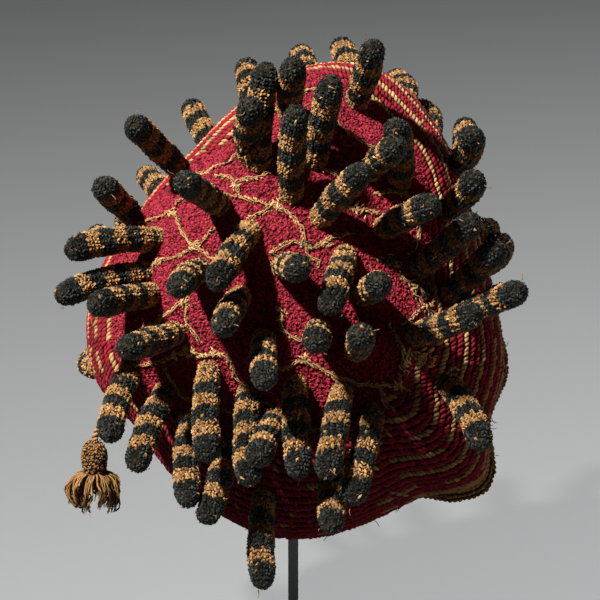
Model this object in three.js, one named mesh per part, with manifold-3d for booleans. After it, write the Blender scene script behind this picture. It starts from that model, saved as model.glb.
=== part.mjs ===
// A crocheted prestige cap of wool and plant fibre, set all over with stuffed fingers and tilted forward
// on a plain rod stand. Millimetres and degrees. The foot stands on z = 0, +Z is up, and the crown faces -Y.
import * as THREE from 'three';
import { ParametricGeometry } from 'three/addons/geometries/ParametricGeometry.js';
import { mergeVertices } from 'three/addons/utils/BufferGeometryUtils.js';
import Module from 'manifold-3d';

// The cap, in its own frame: the crown points along +Z, and its top edge lies towards +Y.
const capReach = 115; // from the cap's middle to its widest ring, before the outline's shares
const crownRise = 74; // the crown's front above the widest ring
const napeDepth = 88; // from the widest ring back to the rim, where the wall is deepest
const wallThickness = 3.4;
const ribDepth = 1.1; // of the furrows between the wall's rows
const rimBandWidth = 9;
const rimBandThickness = 5.6;
const clearance = 0.3; // between pieces that lie against each other

// How the cap stands.
const capHeight = 205; // its middle above the floor
const capForward = 5; // its middle in front of the rod
const capAside = 2; // its middle to the right of the rod
const capTilt = 68; // crown tipped forward from upright
const capTurn = -8; // crown turned to the left

// The fingers: stuffed crochet tubes with round ends.
const burlLength = 54;
const burlRadius = 6.5;
const burlLift = 0.3; // how much of its start follows the wall's outward direction
const burlSides = 8;
const backBurlSides = 6;

// The tassel that hangs from the cap's left edge: a cord, a knob and a skirt of locks.
const tasselRoot = { bearing: 238, share: 1.05 };
const cordReach = 17; // out from the wall
const cordRadius = 1.8;
const cordDrop = 10; // from there down to the knob's top
const knobRadius = 7.2;
const knobHeight = 17;
const skirtLocks = 8;
const lockRadius = 4.4;
const skirtDrop = 24; // below the knob's middle
const skirtReach = 14; // out from the knob's axis to the locks' ends

// The stand.
const rodSide = 5.2;
const footRadius = 75;
const footThickness = 8;
const footBevel = 1.2;
const padRadius = 34;
const padThickness = 15;
const padEase = 1; // between the pad and the inside of the cap

// Bearings run clockwise from the cap's top edge, seen from the crown.
// reach: the outline, as a share of capReach.
// seam: where the crown panel ends, as a share of the way from the crown's middle to the widest ring.
// nape: the wall's depth behind that ring, as a share of napeDepth.
// rim: the rim's reach, as a share of the outline's. flat: 2 is a round shoulder, and more is a squarer one.
const outline = [
  { bearing: 0, reach: 1.0, seam: 0.68, nape: 1.0, rim: 0.8, flat: 2.5 },
  { bearing: 18, reach: 1.05, seam: 0.68, nape: 1.0, rim: 0.8, flat: 2.5 },
  { bearing: 36, reach: 0.96, seam: 0.64, nape: 0.96, rim: 0.82, flat: 2.5 },
  { bearing: 60, reach: 0.84, seam: 0.58, nape: 0.82, rim: 0.88, flat: 2.4 },
  { bearing: 84, reach: 0.84, seam: 0.52, nape: 0.62, rim: 0.94, flat: 2.3 },
  { bearing: 106, reach: 0.93, seam: 0.46, nape: 0.44, rim: 0.98, flat: 2.2 },
  { bearing: 120, reach: 0.98, seam: 0.42, nape: 0.33, rim: 0.97, flat: 2.1 },
  { bearing: 132, reach: 1.1, seam: 0.4, nape: 0.28, rim: 1.0, flat: 2.0 },
  { bearing: 146, reach: 1.0, seam: 0.44, nape: 0.25, rim: 0.95, flat: 2.0 },
  { bearing: 180, reach: 1.03, seam: 0.56, nape: 0.24, rim: 0.92, flat: 2.0 },
  { bearing: 206, reach: 0.95, seam: 0.58, nape: 0.25, rim: 0.92, flat: 2.0 },
  { bearing: 228, reach: 0.88, seam: 0.58, nape: 0.3, rim: 0.94, flat: 2.1 },
  { bearing: 246, reach: 0.93, seam: 0.62, nape: 0.4, rim: 0.96, flat: 2.2 },
  { bearing: 268, reach: 0.89, seam: 0.68, nape: 0.55, rim: 0.98, flat: 2.3 },
  { bearing: 292, reach: 0.78, seam: 0.72, nape: 0.74, rim: 0.94, flat: 2.4 },
  { bearing: 322, reach: 0.77, seam: 0.6, nape: 0.93, rim: 0.86, flat: 2.5 },
  { bearing: 342, reach: 0.87, seam: 0.52, nape: 1.0, rim: 0.82, flat: 2.5 },
];

// Hollows pressed into the cap. depth and spread are shares of capReach.
const dents = [
  { bearing: 24, share: 0.62, depth: 0.06, spread: 0.2 },
  { bearing: 186, share: 0.5, depth: 0.12, spread: 0.32 },
  { bearing: 262, share: 0.6, depth: 0.05, spread: 0.2 },
  { bearing: 88, share: 0.6, depth: 0.05, spread: 0.2 },
];

// Facets round the cap, down the crown, and the rows of ribbing down the two parts of the wall.
const steps = { around: 32, crown: 8, sideRows: 5, napeRows: 7 };

// Each finger: where it is rooted (at, share), and where it points (toward, lean from the crown's axis).
// long is its length as a share of burlLength, where that isn't 1.
const frontBurls = [
  // the top, pointing up
  { at: 344, share: 0.38, toward: 22, lean: 22, long: 0.9 },
  { at: 348, share: 0.32, toward: 8, lean: 53 },
  { at: 0, share: 0.46, toward: 30, lean: 18 },
  { at: 6, share: 0.18, toward: 10, lean: 40 },
  { at: 18, share: 0.6, toward: 36, lean: 24 },
  { at: 14, share: 0.28, toward: 20, lean: 40 },
  { at: 46, share: 0.47, toward: 4, lean: 20 },
  { at: 36, share: 0.37, toward: 77, lean: 21 },
  { at: 32, share: 0.16, toward: 57, lean: 34 },
  // the right side
  { at: 60, share: 0.35, toward: 78, lean: 32 },
  { at: 62, share: 0.67, toward: 62, lean: 22 },
  { at: 49, share: 0.93, toward: 52, lean: 14 },
  { at: 80, share: 0.47, toward: 58, lean: 40 },
  { at: 90, share: 0.62, toward: 54, lean: 37 },
  { at: 96, share: 0.65, toward: 77, lean: 38 },
  { at: 108, share: 0.43, toward: 77, lean: 37 },
  { at: 118, share: 0.6, toward: 147, lean: 46 },
  // the crown, facing forward
  { at: 96, share: 0.24, toward: 94, lean: 14 },
  { at: 68, share: 0.19, toward: 182, lean: 36 },
  { at: 20, share: 0.02, toward: 117, lean: 20 },
  { at: 136, share: 0.16, toward: 156, lean: 14 },
  { at: 128, share: 0.26, toward: 75, lean: 9 },
  { at: 190, share: 0.16, toward: 161, lean: 30 },
  { at: 328, share: 0.14, toward: 195, lean: 39 },
  { at: 276, share: 0.21, toward: 184, lean: 17 },
  { at: 243, share: 0.1, toward: 178, lean: 23 },
  { at: 320, share: 0.3, toward: 286, lean: 11 },
  // the left side
  { at: 316, share: 0.68, toward: 312, lean: 24 },
  { at: 294, share: 0.84, toward: 321, lean: 10 },
  { at: 288, share: 0.47, toward: 250, lean: 45 },
  { at: 273, share: 0.44, toward: 242, lean: 46 },
  { at: 263, share: 0.38, toward: 236, lean: 24 },
  { at: 242, share: 0.33, toward: 228, lean: 22 },
  { at: 239, share: 0.6, toward: 180, lean: 41 },
  { at: 226, share: 0.55, toward: 187, lean: 48 },
  // the bottom, hanging down
  { at: 213, share: 0.56, toward: 170, lean: 54 },
  { at: 217, share: 0.35, toward: 171, lean: 58 },
  { at: 196, share: 0.57, toward: 188, lean: 49 },
  { at: 194, share: 0.35, toward: 171, lean: 59 },
  { at: 180, share: 0.41, toward: 182, lean: 27 },
  { at: 168, share: 0.29, toward: 170, lean: 60 },
  { at: 148, share: 0.36, toward: 182, lean: 52 },
  { at: 162, share: 0.59, toward: 169, lean: 37 },
  { at: 142, share: 0.45, toward: 186, lean: 57 },
  { at: 184, share: 0.72, toward: 172, lean: 57 },
];

// The fingers behind the widest ring are worked in one with the wall there.
const backBurls = [
  // nearer the front
  { at: 344, share: 1.25, toward: 340, lean: 132 },
  { at: 0, share: 1.3, toward: 333, lean: 141 },
  { at: 10, share: 1.3, toward: 335, lean: 140 },
  { at: 24, share: 1.3, toward: 332, lean: 150 },
  { at: 33, share: 1.35, toward: 335, lean: 151 },
  { at: 46, share: 1.35, toward: 2, lean: 138 },
  { at: 76, share: 1.35, toward: 12, lean: 157 },
  { at: 328, share: 1.3, toward: 326, lean: 128 },
  { at: 306, share: 1.3, toward: 312, lean: 143 },
  { at: 284, share: 1.3, toward: 298, lean: 143 },
  { at: 293, share: 1.45, toward: 300, lean: 148 },
  { at: 250, share: 1.2, toward: 310, lean: 163 },
  // nearer the rim
  { at: 352, share: 1.7, toward: 350, lean: 135 },
  { at: 14, share: 1.7, toward: 350, lean: 145 },
  { at: 36, share: 1.75, toward: 340, lean: 150 },
  { at: 62, share: 1.6, toward: 40, lean: 168 },
  { at: 332, share: 1.75, toward: 330, lean: 140 },
  { at: 308, share: 1.7, toward: 310, lean: 150 },
];

const wasm = await Module();
wasm.setup();

const radians = THREE.MathUtils.degToRad;

// A closed geometry as a solid for cutting and joining, and back again.
function solidOf(geometry) {
  const bare = new THREE.BufferGeometry();
  bare.setAttribute('position', geometry.getAttribute('position'));
  bare.setIndex(geometry.getIndex());
  const merged = mergeVertices(bare, 1e-3);
  return new wasm.Manifold(new wasm.Mesh({
    numProp: 3,
    vertProperties: merged.getAttribute('position').array,
    triVerts: new Uint32Array(merged.getIndex().array),
  }));
}

function geometryOf(solid) {
  const mesh = solid.getMesh();
  const geometry = new THREE.BufferGeometry();
  geometry.setAttribute('position', new THREE.BufferAttribute(mesh.vertProperties, 3));
  geometry.setIndex(new THREE.BufferAttribute(mesh.triVerts, 1));
  geometry.computeVertexNormals();
  return geometry;
}

// The outline's columns at any bearing, on a smooth curve that closes on itself.
const columns = ['reach', 'seam', 'nape', 'rim', 'flat'];
const closedRows = [
  { ...outline.at(-1), bearing: outline.at(-1).bearing - 360 },
  ...outline,
  { ...outline[0], bearing: 360 },
  { ...outline[1], bearing: outline[1].bearing + 360 },
];
const outlineCurve = new THREE.CubicInterpolant(
  closedRows.map((row) => row.bearing),
  closedRows.flatMap((row) => columns.map((name) => row[name])),
  columns.length,
);

function outlineAt(bearing) {
  const values = outlineCurve.evaluate(THREE.MathUtils.euclideanModulo(bearing, 360));
  return Object.fromEntries(columns.map((name, i) => [name, values[i]]));
}

// A point of the cap's outer face before its dents.
// share is 0 at the crown's middle, 1 at the widest ring and 2 at the rim.
function plainPoint(bearing, share) {
  const row = outlineAt(bearing);
  const turn = radians(bearing);
  const round = 2 / row.flat;
  const swing = radians(90) * THREE.MathUtils.clamp(share, 0, 1);
  const back = Math.max(share - 1, 0);
  const radial = Math.sin(swing) ** round * (1 - (1 - row.rim) * back ** 1.5);
  const height = share < 1
    ? crownRise * Math.max(Math.cos(swing), 0) ** round
    : -napeDepth * row.nape * back;
  const reach = capReach * row.reach * radial;
  return new THREE.Vector3(reach * Math.sin(turn), reach * Math.cos(turn), height);
}

const dentSpots = dents.map((dent) => ({ ...dent, spot: plainPoint(dent.bearing, dent.share) }));

function facePoint(bearing, share) {
  const point = plainPoint(bearing, share);
  const inward = point.clone().normalize().negate();
  for (const { spot, depth, spread } of dentSpots) {
    const away = spot.distanceTo(point) / (spread * capReach);
    point.addScaledVector(inward, depth * capReach * Math.exp(-away * away));
  }
  return point;
}

function faceNormal(bearing, share) {
  const s = THREE.MathUtils.clamp(share, 0.04, 1.98);
  const along = facePoint(bearing, s + 0.02).sub(facePoint(bearing, s - 0.02));
  const across = facePoint(bearing + 2, s).sub(facePoint(bearing - 2, s));
  return across.cross(along).normalize();
}

function wallPoint(bearing, share, out = 0) {
  return facePoint(bearing, share).addScaledVector(faceNormal(bearing, share), out);
}

// How much share a length in millimetres takes along the wall.
function shareOf(length, bearing, share) {
  const small = 0.01;
  return length * small / facePoint(bearing, share + small).distanceTo(facePoint(bearing, share));
}

// A body swept once round the cap.
// sectionAt gives the section's corners at a bearing, as [share, out] pairs in order.
// A section that doesn't start on the crown's axis is a ring and closes on itself.
function sweep(sectionAt) {
  const first = sectionAt(0);
  const onAxis = first[0][0] === 0;
  const count = onAxis ? first.length - 1 : first.length;
  const geometry = new ParametricGeometry((u, v, target) => {
    const bearing = 360 * u;
    const section = sectionAt(bearing);
    const [share, out] = section[Math.round(v * count) % section.length];
    if (share === 0) target.set(0, 0, wallPoint(0, 0, 0).z + out);
    else target.copy(wallPoint(bearing, share, out));
  }, steps.around, count);
  return solidOf(geometry);
}

function between(from, to, count) {
  return Array.from({ length: count + 1 }, (_, i) => THREE.MathUtils.lerp(from, to, i / count));
}

// A stretch of the cap's wall between two shares, with rows of ribbing on its face.
function wallSection(from, to, count, ribs = 0) {
  const faceSteps = ribs ? 2 * count : count;
  return [
    ...between(from, to, faceSteps).map((share, i) => [share, i % 2 ? 0 : -ribs]),
    ...between(to, from, count).map((share) => [share, -wallThickness]),
  ];
}

// The cap filled solid out to a distance from its face, which cuts what stands on the wall or lies inside it.
function core(out) {
  const depth = steps.crown + 2 * (steps.sideRows + steps.napeRows);
  const middleOfRim = -napeDepth / 2;
  const geometry = new ParametricGeometry((u, v, target) => {
    const bearing = 360 * u;
    const share = 2 * v * (depth + 1) / depth;
    if (v === 0) target.set(0, 0, facePoint(0, 0).z + out);
    else if (share > 2.001) target.set(0, 0, middleOfRim);
    else target.copy(wallPoint(bearing, share, out));
  }, steps.around, depth + 1);
  return solidOf(geometry);
}

function crownPanel() {
  return sweep((bearing) => {
    const seam = outlineAt(bearing).seam;
    return wallSection(0, seam, steps.crown);
  });
}

function sideWall() {
  return sweep((bearing) => {
    const seam = outlineAt(bearing).seam;
    const top = seam + shareOf(clearance, bearing, seam);
    return wallSection(top, 1, steps.sideRows, ribDepth);
  });
}

// The side wall and the space round it, which the fingers behind it keep out of.
function sideWallRoom() {
  return sweep((bearing) => {
    const { seam } = outlineAt(bearing);
    const foot = 1 + shareOf(clearance, bearing, 1);
    const inner = -wallThickness - clearance;
    return [[seam, clearance], [foot, clearance], [foot, inner], [seam, inner]];
  });
}

function backWall() {
  return sweep((bearing) => {
    const top = 1 + shareOf(clearance, bearing, 1);
    const foot = 2 - shareOf(rimBandWidth + 2 * clearance, bearing, 1.5);
    return wallSection(top, foot, steps.napeRows, ribDepth);
  });
}

function rimBand() {
  const proud = (rimBandThickness - wallThickness) / 2;
  return sweep((bearing) => {
    const width = shareOf(rimBandWidth, bearing, 1.5);
    const bevel = shareOf(proud, bearing, 1.5);
    const top = 2 - width;
    const inner = -wallThickness;
    return [
      [top, 0], [top + bevel, proud], [2 - bevel, proud], [2, 0],
      [2, inner], [2 - bevel, inner - proud], [top + bevel, inner - proud], [top, inner],
    ];
  });
}

// A direction in the cap's frame.
function pointing(toward, lean) {
  return new THREE.Vector3().setFromSphericalCoords(1, radians(lean), 0)
    .applyEuler(new THREE.Euler(radians(90), 0, 0))
    .applyAxisAngle(new THREE.Vector3(0, 0, 1), radians(180 - toward));
}

// A round body turned on a lathe along +Y and then bent along a curve. What lies below 0 goes straight back.
function bent(profile, sides, curve, length) {
  const geometry = new THREE.LatheGeometry(profile, sides);
  const position = geometry.getAttribute('position');
  const up = new THREE.Vector3(0, 1, 0);
  const spot = new THREE.Vector3();
  for (let i = 0; i < position.count; i++) {
    spot.fromBufferAttribute(position, i);
    const along = spot.y / length;
    const t = THREE.MathUtils.clamp(along, 0, 1);
    const tangent = curve.getTangent(t);
    const middle = curve.getPoint(t).addScaledVector(tangent, (along - t) * length);
    spot.setY(0).applyQuaternion(new THREE.Quaternion().setFromUnitVectors(up, tangent)).add(middle);
    position.setXYZ(i, spot.x, spot.y, spot.z);
  }
  return solidOf(geometry);
}

// A finger's section, as shares of its radius and its length.
const burlProfile = [
  { wide: 0.94, along: 0.06 },
  { wide: 1.03, along: 0.42 },
  { wide: 1.03, along: 0.82 },
  { wide: 0.7, along: 0.97 },
];

// A finger sets off from the wall's outward direction and bends to where it points. grow makes it fatter.
function burl({ at, share, toward, lean, long = 1 }, grow = 0, sides = burlSides) {
  const length = burlLength * long;
  const profile = [
    new THREE.Vector2(0, -wallThickness),
    new THREE.Vector2(burlRadius * burlProfile[0].wide + grow, -wallThickness),
    ...burlProfile.map(({ wide, along }) => new THREE.Vector2(burlRadius * wide + grow, along * length)),
    new THREE.Vector2(0, length + grow),
  ];
  const root = wallPoint(at, share);
  const end = pointing(toward, lean);
  const start = end.clone().lerp(faceNormal(at, share), burlLift).normalize();
  const curve = new THREE.QuadraticBezierCurve3(
    root,
    root.clone().addScaledVector(start, length / 2),
    root.clone().addScaledVector(end, length),
  );
  return bent(profile, sides, curve, length);
}

const cap = new THREE.Group();
cap.position.set(capAside, -capForward, capHeight);
cap.rotation.set(radians(capTilt), 0, radians(capTurn), 'ZYX');
cap.updateMatrixWorld(true);

const hat = new THREE.Group();
hat.add(cap);

function piece(name, solid, material, into = cap) {
  const mesh = new THREE.Mesh(geometryOf(solid), material);
  mesh.name = name;
  into.add(mesh);
}

const redWool = new THREE.MeshStandardMaterial({ color: 0x9e1f35, roughness: 0.95 });
const ribbedWool = new THREE.MeshStandardMaterial({ color: 0x8c1024, roughness: 0.9 });
const tanFibre = new THREE.MeshStandardMaterial({ color: 0xb98348, roughness: 0.8 });
const bandedFibre = new THREE.MeshStandardMaterial({ color: 0x4a3d2c, roughness: 0.85 });
const blackSteel = new THREE.MeshStandardMaterial({ color: 0x15151a, roughness: 0.5, metalness: 0.8 });

piece('crown_panel', crownPanel(), redWool);
piece('side_wall', sideWall(), ribbedWool);
piece('rim_band', rimBand(), tanFibre);

// Fingers that press against each other give way: each is trimmed clear of those before it.
const cutter = core(clearance);
const placed = [];

function clearOfOthers(solid) {
  const box = solid.boundingBox();
  const touches = (other) => [0, 1, 2].every((k) => other.min[k] < box.max[k] && other.max[k] > box.min[k]);
  return placed
    .filter((other) => touches(other.box))
    .reduce((left, other) => left.subtract(other.fat), solid);
}

function largest(solid) {
  return solid.decompose().sort((a, b) => b.volume() - a.volume())[0];
}

frontBurls.forEach((row, i) => {
  const solid = largest(clearOfOthers(burl(row).subtract(cutter)));
  piece(`burl_${String(i + 1).padStart(2, '0')}`, solid, bandedFibre);
  const fat = burl(row, clearance);
  placed.push({ fat, box: fat.boundingBox() });
});

const innerCore = core(-wallThickness / 2);
const frontRoom = sideWallRoom();
const back = backBurls.reduce((wall, row) => {
  const rooted = burl(row, 0, backBurlSides).subtract(innerCore);
  return wall.add(largest(clearOfOthers(rooted).subtract(frontRoom)));
}, backWall());
piece('back_wall', largest(back), ribbedWool);

// The tassel hangs straight down, so it is made upright.
const coreAround = core(clearance).transform(cap.matrixWorld.elements);
const cordStart = wallPoint(tasselRoot.bearing, tasselRoot.share).applyMatrix4(cap.matrixWorld);
const cordOut = faceNormal(tasselRoot.bearing, tasselRoot.share).transformDirection(cap.matrixWorld);
const down = (point, drop) => point.clone().add(new THREE.Vector3(0, 0, -drop));
const cordBend = cordStart.clone().addScaledVector(cordOut, cordReach);
const knobTop = down(cordBend, cordDrop);
const knobMiddle = down(knobTop, knobHeight / 2);

function tassel() {
  const cordCurve = new THREE.QuadraticBezierCurve3(cordStart, cordBend, down(knobTop, cordRadius));
  const cordLength = cordCurve.getLength();
  const cordProfile = [[0, 0], [1, 0], [1, 0.5], [1, 1], [0, 1]]
    .map(([wide, along]) => new THREE.Vector2(cordRadius * wide, cordLength * along));
  const cord = bent(cordProfile, 8, cordCurve, cordLength);
  const knobProfile = [[0, -1], [0.55, -0.8], [0.95, -0.35], [1, 0.1], [0.8, 0.6], [0.4, 0.95], [0, 1]]
    .map(([wide, up]) => new THREE.Vector2(knobRadius * wide, knobHeight / 2 * up));
  const knob = new THREE.LatheGeometry(knobProfile, 12);
  knob.rotateX(radians(90)).translate(...knobMiddle.toArray());
  let whole = solidOf(knob).add(cord);
  for (let i = 0; i < skirtLocks; i++) {
    const turn = radians(360 * i / skirtLocks);
    const out = new THREE.Vector3(Math.cos(turn), Math.sin(turn), 0);
    const from = down(knobMiddle, knobHeight / 4);
    const lock = new THREE.QuadraticBezierCurve3(
      from,
      down(from, 0.35 * skirtDrop).addScaledVector(out, 0.9 * skirtReach),
      down(from, skirtDrop - knobHeight / 4).addScaledVector(out, skirtReach),
    );
    const length = lock.getLength();
    const profile = [[0, 0], [0.6, 0], [0.9, 0.35], [1, 0.75], [0.7, 1], [0, 1]]
      .map(([wide, along]) => new THREE.Vector2(lockRadius * wide, along * length));
    whole = whole.add(bent(profile, 6, lock, length));
  }
  return whole.subtract(coreAround);
}

piece('tassel', largest(tassel()), tanFibre, hat);

// The stand's pad is cut to the inside of the cap that lies on it.
const roomInside = core(-wallThickness - padEase).transform(cap.matrixWorld.elements);
const padBlank = new THREE.CylinderGeometry(padRadius, padRadius, 2 * capReach, 24);
padBlank.rotateX(radians(90)).translate(0, 0, capHeight + capReach);
const padColumn = solidOf(padBlank).intersect(roomInside);
const padTop = padColumn.boundingBox().max[2];
const padFoot = padTop - padThickness;
const keep = new THREE.BoxGeometry(4 * padRadius, 4 * padRadius, 2 * padThickness);
keep.translate(0, 0, padFoot + padThickness);
piece('stand_pad', padColumn.intersect(solidOf(keep)), blackSteel, hat);

const rod = new THREE.BoxGeometry(rodSide, rodSide, padFoot - footThickness);
rod.translate(0, 0, (padFoot + footThickness) / 2);
piece('stand_rod', solidOf(rod), blackSteel, hat);

const footProfile = [
  [0, 0], [footRadius, 0], [footRadius, footThickness - footBevel], [footRadius - footBevel, footThickness],
  [0, footThickness],
].map(([x, y]) => new THREE.Vector2(x, y));
const foot = new THREE.LatheGeometry(footProfile, 32);
foot.rotateX(radians(90));
piece('stand_foot', solidOf(foot), blackSteel, hat);

export default hat;
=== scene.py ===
# A crocheted cap set all over with stuffed fingers, on a rod stand.
# Shapes are worked out in millimetres and turned to metres when a mesh is made.
import math
import bpy
import numpy as np
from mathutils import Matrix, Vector
from mathutils.bvhtree import BVHTree
from mathutils.geometry import delaunay_2d_cdt
from mathutils.kdtree import KDTree


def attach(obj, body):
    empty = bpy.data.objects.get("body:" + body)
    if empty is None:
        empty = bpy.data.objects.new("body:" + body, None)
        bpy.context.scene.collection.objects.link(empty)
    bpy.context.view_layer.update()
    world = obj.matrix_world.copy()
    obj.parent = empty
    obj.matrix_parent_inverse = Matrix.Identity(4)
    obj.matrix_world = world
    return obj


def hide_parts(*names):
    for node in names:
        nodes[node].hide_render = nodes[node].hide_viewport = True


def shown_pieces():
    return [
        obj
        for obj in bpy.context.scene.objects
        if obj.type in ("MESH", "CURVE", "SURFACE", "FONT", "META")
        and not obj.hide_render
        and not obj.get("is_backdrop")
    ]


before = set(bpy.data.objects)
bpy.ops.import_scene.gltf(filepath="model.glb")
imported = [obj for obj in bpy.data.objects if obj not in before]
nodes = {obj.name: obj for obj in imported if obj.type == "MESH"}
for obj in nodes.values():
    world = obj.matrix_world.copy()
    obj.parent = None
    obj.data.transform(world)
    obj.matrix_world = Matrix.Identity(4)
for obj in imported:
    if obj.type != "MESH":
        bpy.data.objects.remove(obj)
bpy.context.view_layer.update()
scene = bpy.context.scene
print("frame loaded:", len(nodes), "nodes")

# camera and framing
cameraSetup = {"lookAt": (3.5, -5.0, 205.0), "elevation": 15.0, "distance": 1300.0, "lens": 156.0}
rise = math.radians(cameraSetup["elevation"])
backward = Vector((0, -math.cos(rise), math.sin(rise)))
cameraData = bpy.data.cameras.new("camera")
cameraData.lens = cameraSetup["lens"]
cameraData.sensor_width = 36.0
cameraData.clip_end = 20.0
camera = bpy.data.objects.new("camera", cameraData)
camera.location = (Vector(cameraSetup["lookAt"]) + backward * cameraSetup["distance"]) / 1000
camera.rotation_euler = backward.to_track_quat("Z", "Y").to_euler()
scene.collection.objects.link(camera)
scene.camera = camera
scene.view_settings.view_transform = "Standard"


# small helpers

def unit(v):
    return v / np.maximum(np.linalg.norm(v, axis=-1, keepdims=True), 1e-9)


def randomFor(name):
    return np.random.default_rng([ord(letter) for letter in name])  # the same draw each run


def circle(count):
    return np.arange(count) * 2 * math.pi / count


def travelledAlong(path):
    # the length from a path's start to each of its points
    return np.concatenate([[0], np.cumsum(np.linalg.norm(np.diff(path, axis=0), axis=1))])


def gridQuads(rows, columns, closeRows=True, closeColumns=True):
    # quads over points that are laid out row after row; either way may close on itself
    i = np.arange(rows if closeRows else rows - 1)[:, None]
    j = np.arange(columns if closeColumns else columns - 1)[None]
    nextI, nextJ = (i + 1) % rows, (j + 1) % columns
    return np.stack([i * columns + j, i * columns + nextJ, nextI * columns + nextJ, nextI * columns + j],
                    axis=-1).reshape(-1, 4)


def repeatFaces(faces, count, each):
    # the same faces for count copies of a shape with that many points each
    return (faces[None] + (np.arange(count) * each)[:, None, None]).reshape(-1, faces.shape[1])


def newMesh(name, points, faceGroups, materials, slotOf=None, shade=None, smooth=True):
    # faceGroups: index arrays with 3 or 4 columns; slotOf: material slots for each group;
    # shade: one tone for all points, or one for each
    counts = np.concatenate([np.full(len(g), g.shape[1]) for g in faceGroups])
    corners = np.concatenate([g.ravel() for g in faceGroups]).astype(np.int32)
    mesh = bpy.data.meshes.new(name)
    mesh.vertices.add(len(points))
    mesh.vertices.foreach_set("co", (np.asarray(points) / 1000).astype(np.float32).ravel())
    mesh.loops.add(len(corners))
    mesh.loops.foreach_set("vertex_index", corners)
    mesh.polygons.add(len(counts))
    starts = np.concatenate([[0], np.cumsum(counts)[:-1]]).astype(np.int32)
    mesh.polygons.foreach_set("loop_start", starts)
    mesh.polygons.foreach_set("use_smooth", np.full(len(counts), smooth))
    for material in materials:
        mesh.materials.append(material)
    if slotOf is not None:
        mesh.polygons.foreach_set("material_index", np.concatenate(slotOf).astype(np.int32))
    mesh.update(calc_edges=True)
    mesh.validate()
    if shade is not None:
        layer = mesh.attributes.new("shade", "FLOAT", "POINT")
        layer.data.foreach_set("value", np.full(len(points), shade, np.float32))
    piece = bpy.data.objects.new(name, mesh)
    scene.collection.objects.link(piece)
    return piece


def finishPiece(piece, slotName, *stoodFor):
    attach(piece, "root")
    if stoodFor:
        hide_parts(*stoodFor)
    return piece


def roundGrain(sides, rings, arch):
    # one closed stitch: x across, y along, z out of the wall, bowed down at its ends
    heights = np.linspace(-1, 1, rings + 2)[1:-1] * 0.86
    points = [(0, -1, -arch)]
    for h in heights:
        wide = math.sqrt(1 - h * h)
        points += [(wide * math.cos(a), h, wide * math.sin(a) - arch * h * h) for a in circle(sides)]
    points.append((0, 1, -arch))
    last = len(points) - 1
    tris = []
    for i in range(sides):
        j = (i + 1) % sides
        tris += [(0, 1 + i, 1 + j), (last, last - sides + j, last - sides + i)]
    quads = np.roll(gridQuads(rings, sides, closeRows=False)[:, ::-1], 1, axis=1) + 1
    return np.array(points, float), np.array(tris), quads


stitchForm = roundGrain(5, 2, 0.55)
yarnForm = roundGrain(4, 1, 0.0)
ropeForm = roundGrain(5, 2, 0.35)


def sized(sizes, swell):
    return np.array([[sizes["wide"], sizes["long"], sizes["thick"]]]) * swell[:, None]


def joinParts(parts):
    return {key: np.concatenate([part[key] for part in parts]) for key in parts[0]}


def stitchPiece(name, form, stitches, materials, smooth=True, inCap=True):
    # a copy of the form at each stitch's middle; size has columns across, along, out
    middle, along, out = stitches["middle"], stitches["along"], stitches["out"]
    if inCap:
        middle, along, out = placed(middle), turned(along), turned(out)
    base, *groups = form
    out = unit(out)
    along = unit(along - out * np.sum(along * out, axis=1, keepdims=True))
    across = np.cross(along, out)
    local = base[None] * stitches["size"][:, None, :]
    points = (middle[:, None] + local[..., :1] * across[:, None]
              + local[..., 1:2] * along[:, None] + local[..., 2:] * out[:, None])
    faces = [repeatFaces(group, len(middle), len(base)) for group in groups]
    slots = [np.repeat(stitches["slot"], len(group)) for group in groups]
    shade = np.repeat(stitches["shade"], len(base))
    return newMesh(name, points.reshape(-1, 3), faces, materials, slots, shade, smooth)


def tubePiece(name, paths, radii, sides, materials, shade, slot=0, inCap=True):
    # thin closed tubes, tapered at both ends, with paths of the same point count;
    # radii, shade and slot are one value for all or one for each
    paths = np.asarray(paths, float)
    count, length = paths.shape[:2]
    tangent = unit(np.gradient(paths, axis=1))
    guide = np.where(np.abs(tangent[:, :1, 2:]) > 0.8, [[[1.0, 0, 0]]], [[[0, 0, 1.0]]])
    sideways = unit(np.cross(tangent, np.broadcast_to(guide, tangent.shape)))
    upward = np.cross(sideways, tangent)
    taper = np.ones(length)
    taper[0] = taper[-1] = 0.35
    turns = circle(sides)
    ring = (sideways[:, :, None] * np.cos(turns)[None, None, :, None]
            + upward[:, :, None] * np.sin(turns)[None, None, :, None])
    thick = np.broadcast_to(radii, count)[:, None, None, None] * taper[None, :, None, None]
    points = (paths[:, :, None] + ring * thick).reshape(-1, 3)
    far = (length - 1) * sides
    caps = [[0, k + 1, k] for k in range(1, sides - 1)]
    caps += [[far, far + k, far + k + 1] for k in range(1, sides - 1)]
    groups = [np.array(caps), gridQuads(length, sides, closeRows=False)]
    each = length * sides
    faces = [repeatFaces(group, count, each) for group in groups]
    slots = [np.repeat(np.broadcast_to(slot, count), len(group)) for group in groups]
    shade = np.repeat(np.broadcast_to(shade, count), each)
    return newMesh(name, placed(points) if inCap else points, faces, materials, slots, shade)


# materials

def newMaterial(name):
    material = bpy.data.materials.new(name)
    material.use_nodes = True
    tree = material.node_tree
    return material, tree, tree.nodes["Principled BSDF"]


def feed(node, inputs):
    # each input gets a value, or a link from another node's output
    for key, value in dict(inputs).items():
        if isinstance(value, bpy.types.NodeSocket):
            node.id_data.links.new(value, node.inputs[key])
        else:
            node.inputs[key].default_value = value


def addNode(tree, kind, inputs=(), **settings):
    node = tree.nodes.new("ShaderNode" + kind)
    for key, value in settings.items():
        setattr(node, key, value)
    feed(node, inputs)
    return node


def objectPlace(tree):
    return addNode(tree, "TexCoord").outputs["Object"]


def ownShade(tree):
    return addNode(tree, "Attribute", attribute_name="shade").outputs["Fac"]


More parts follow.
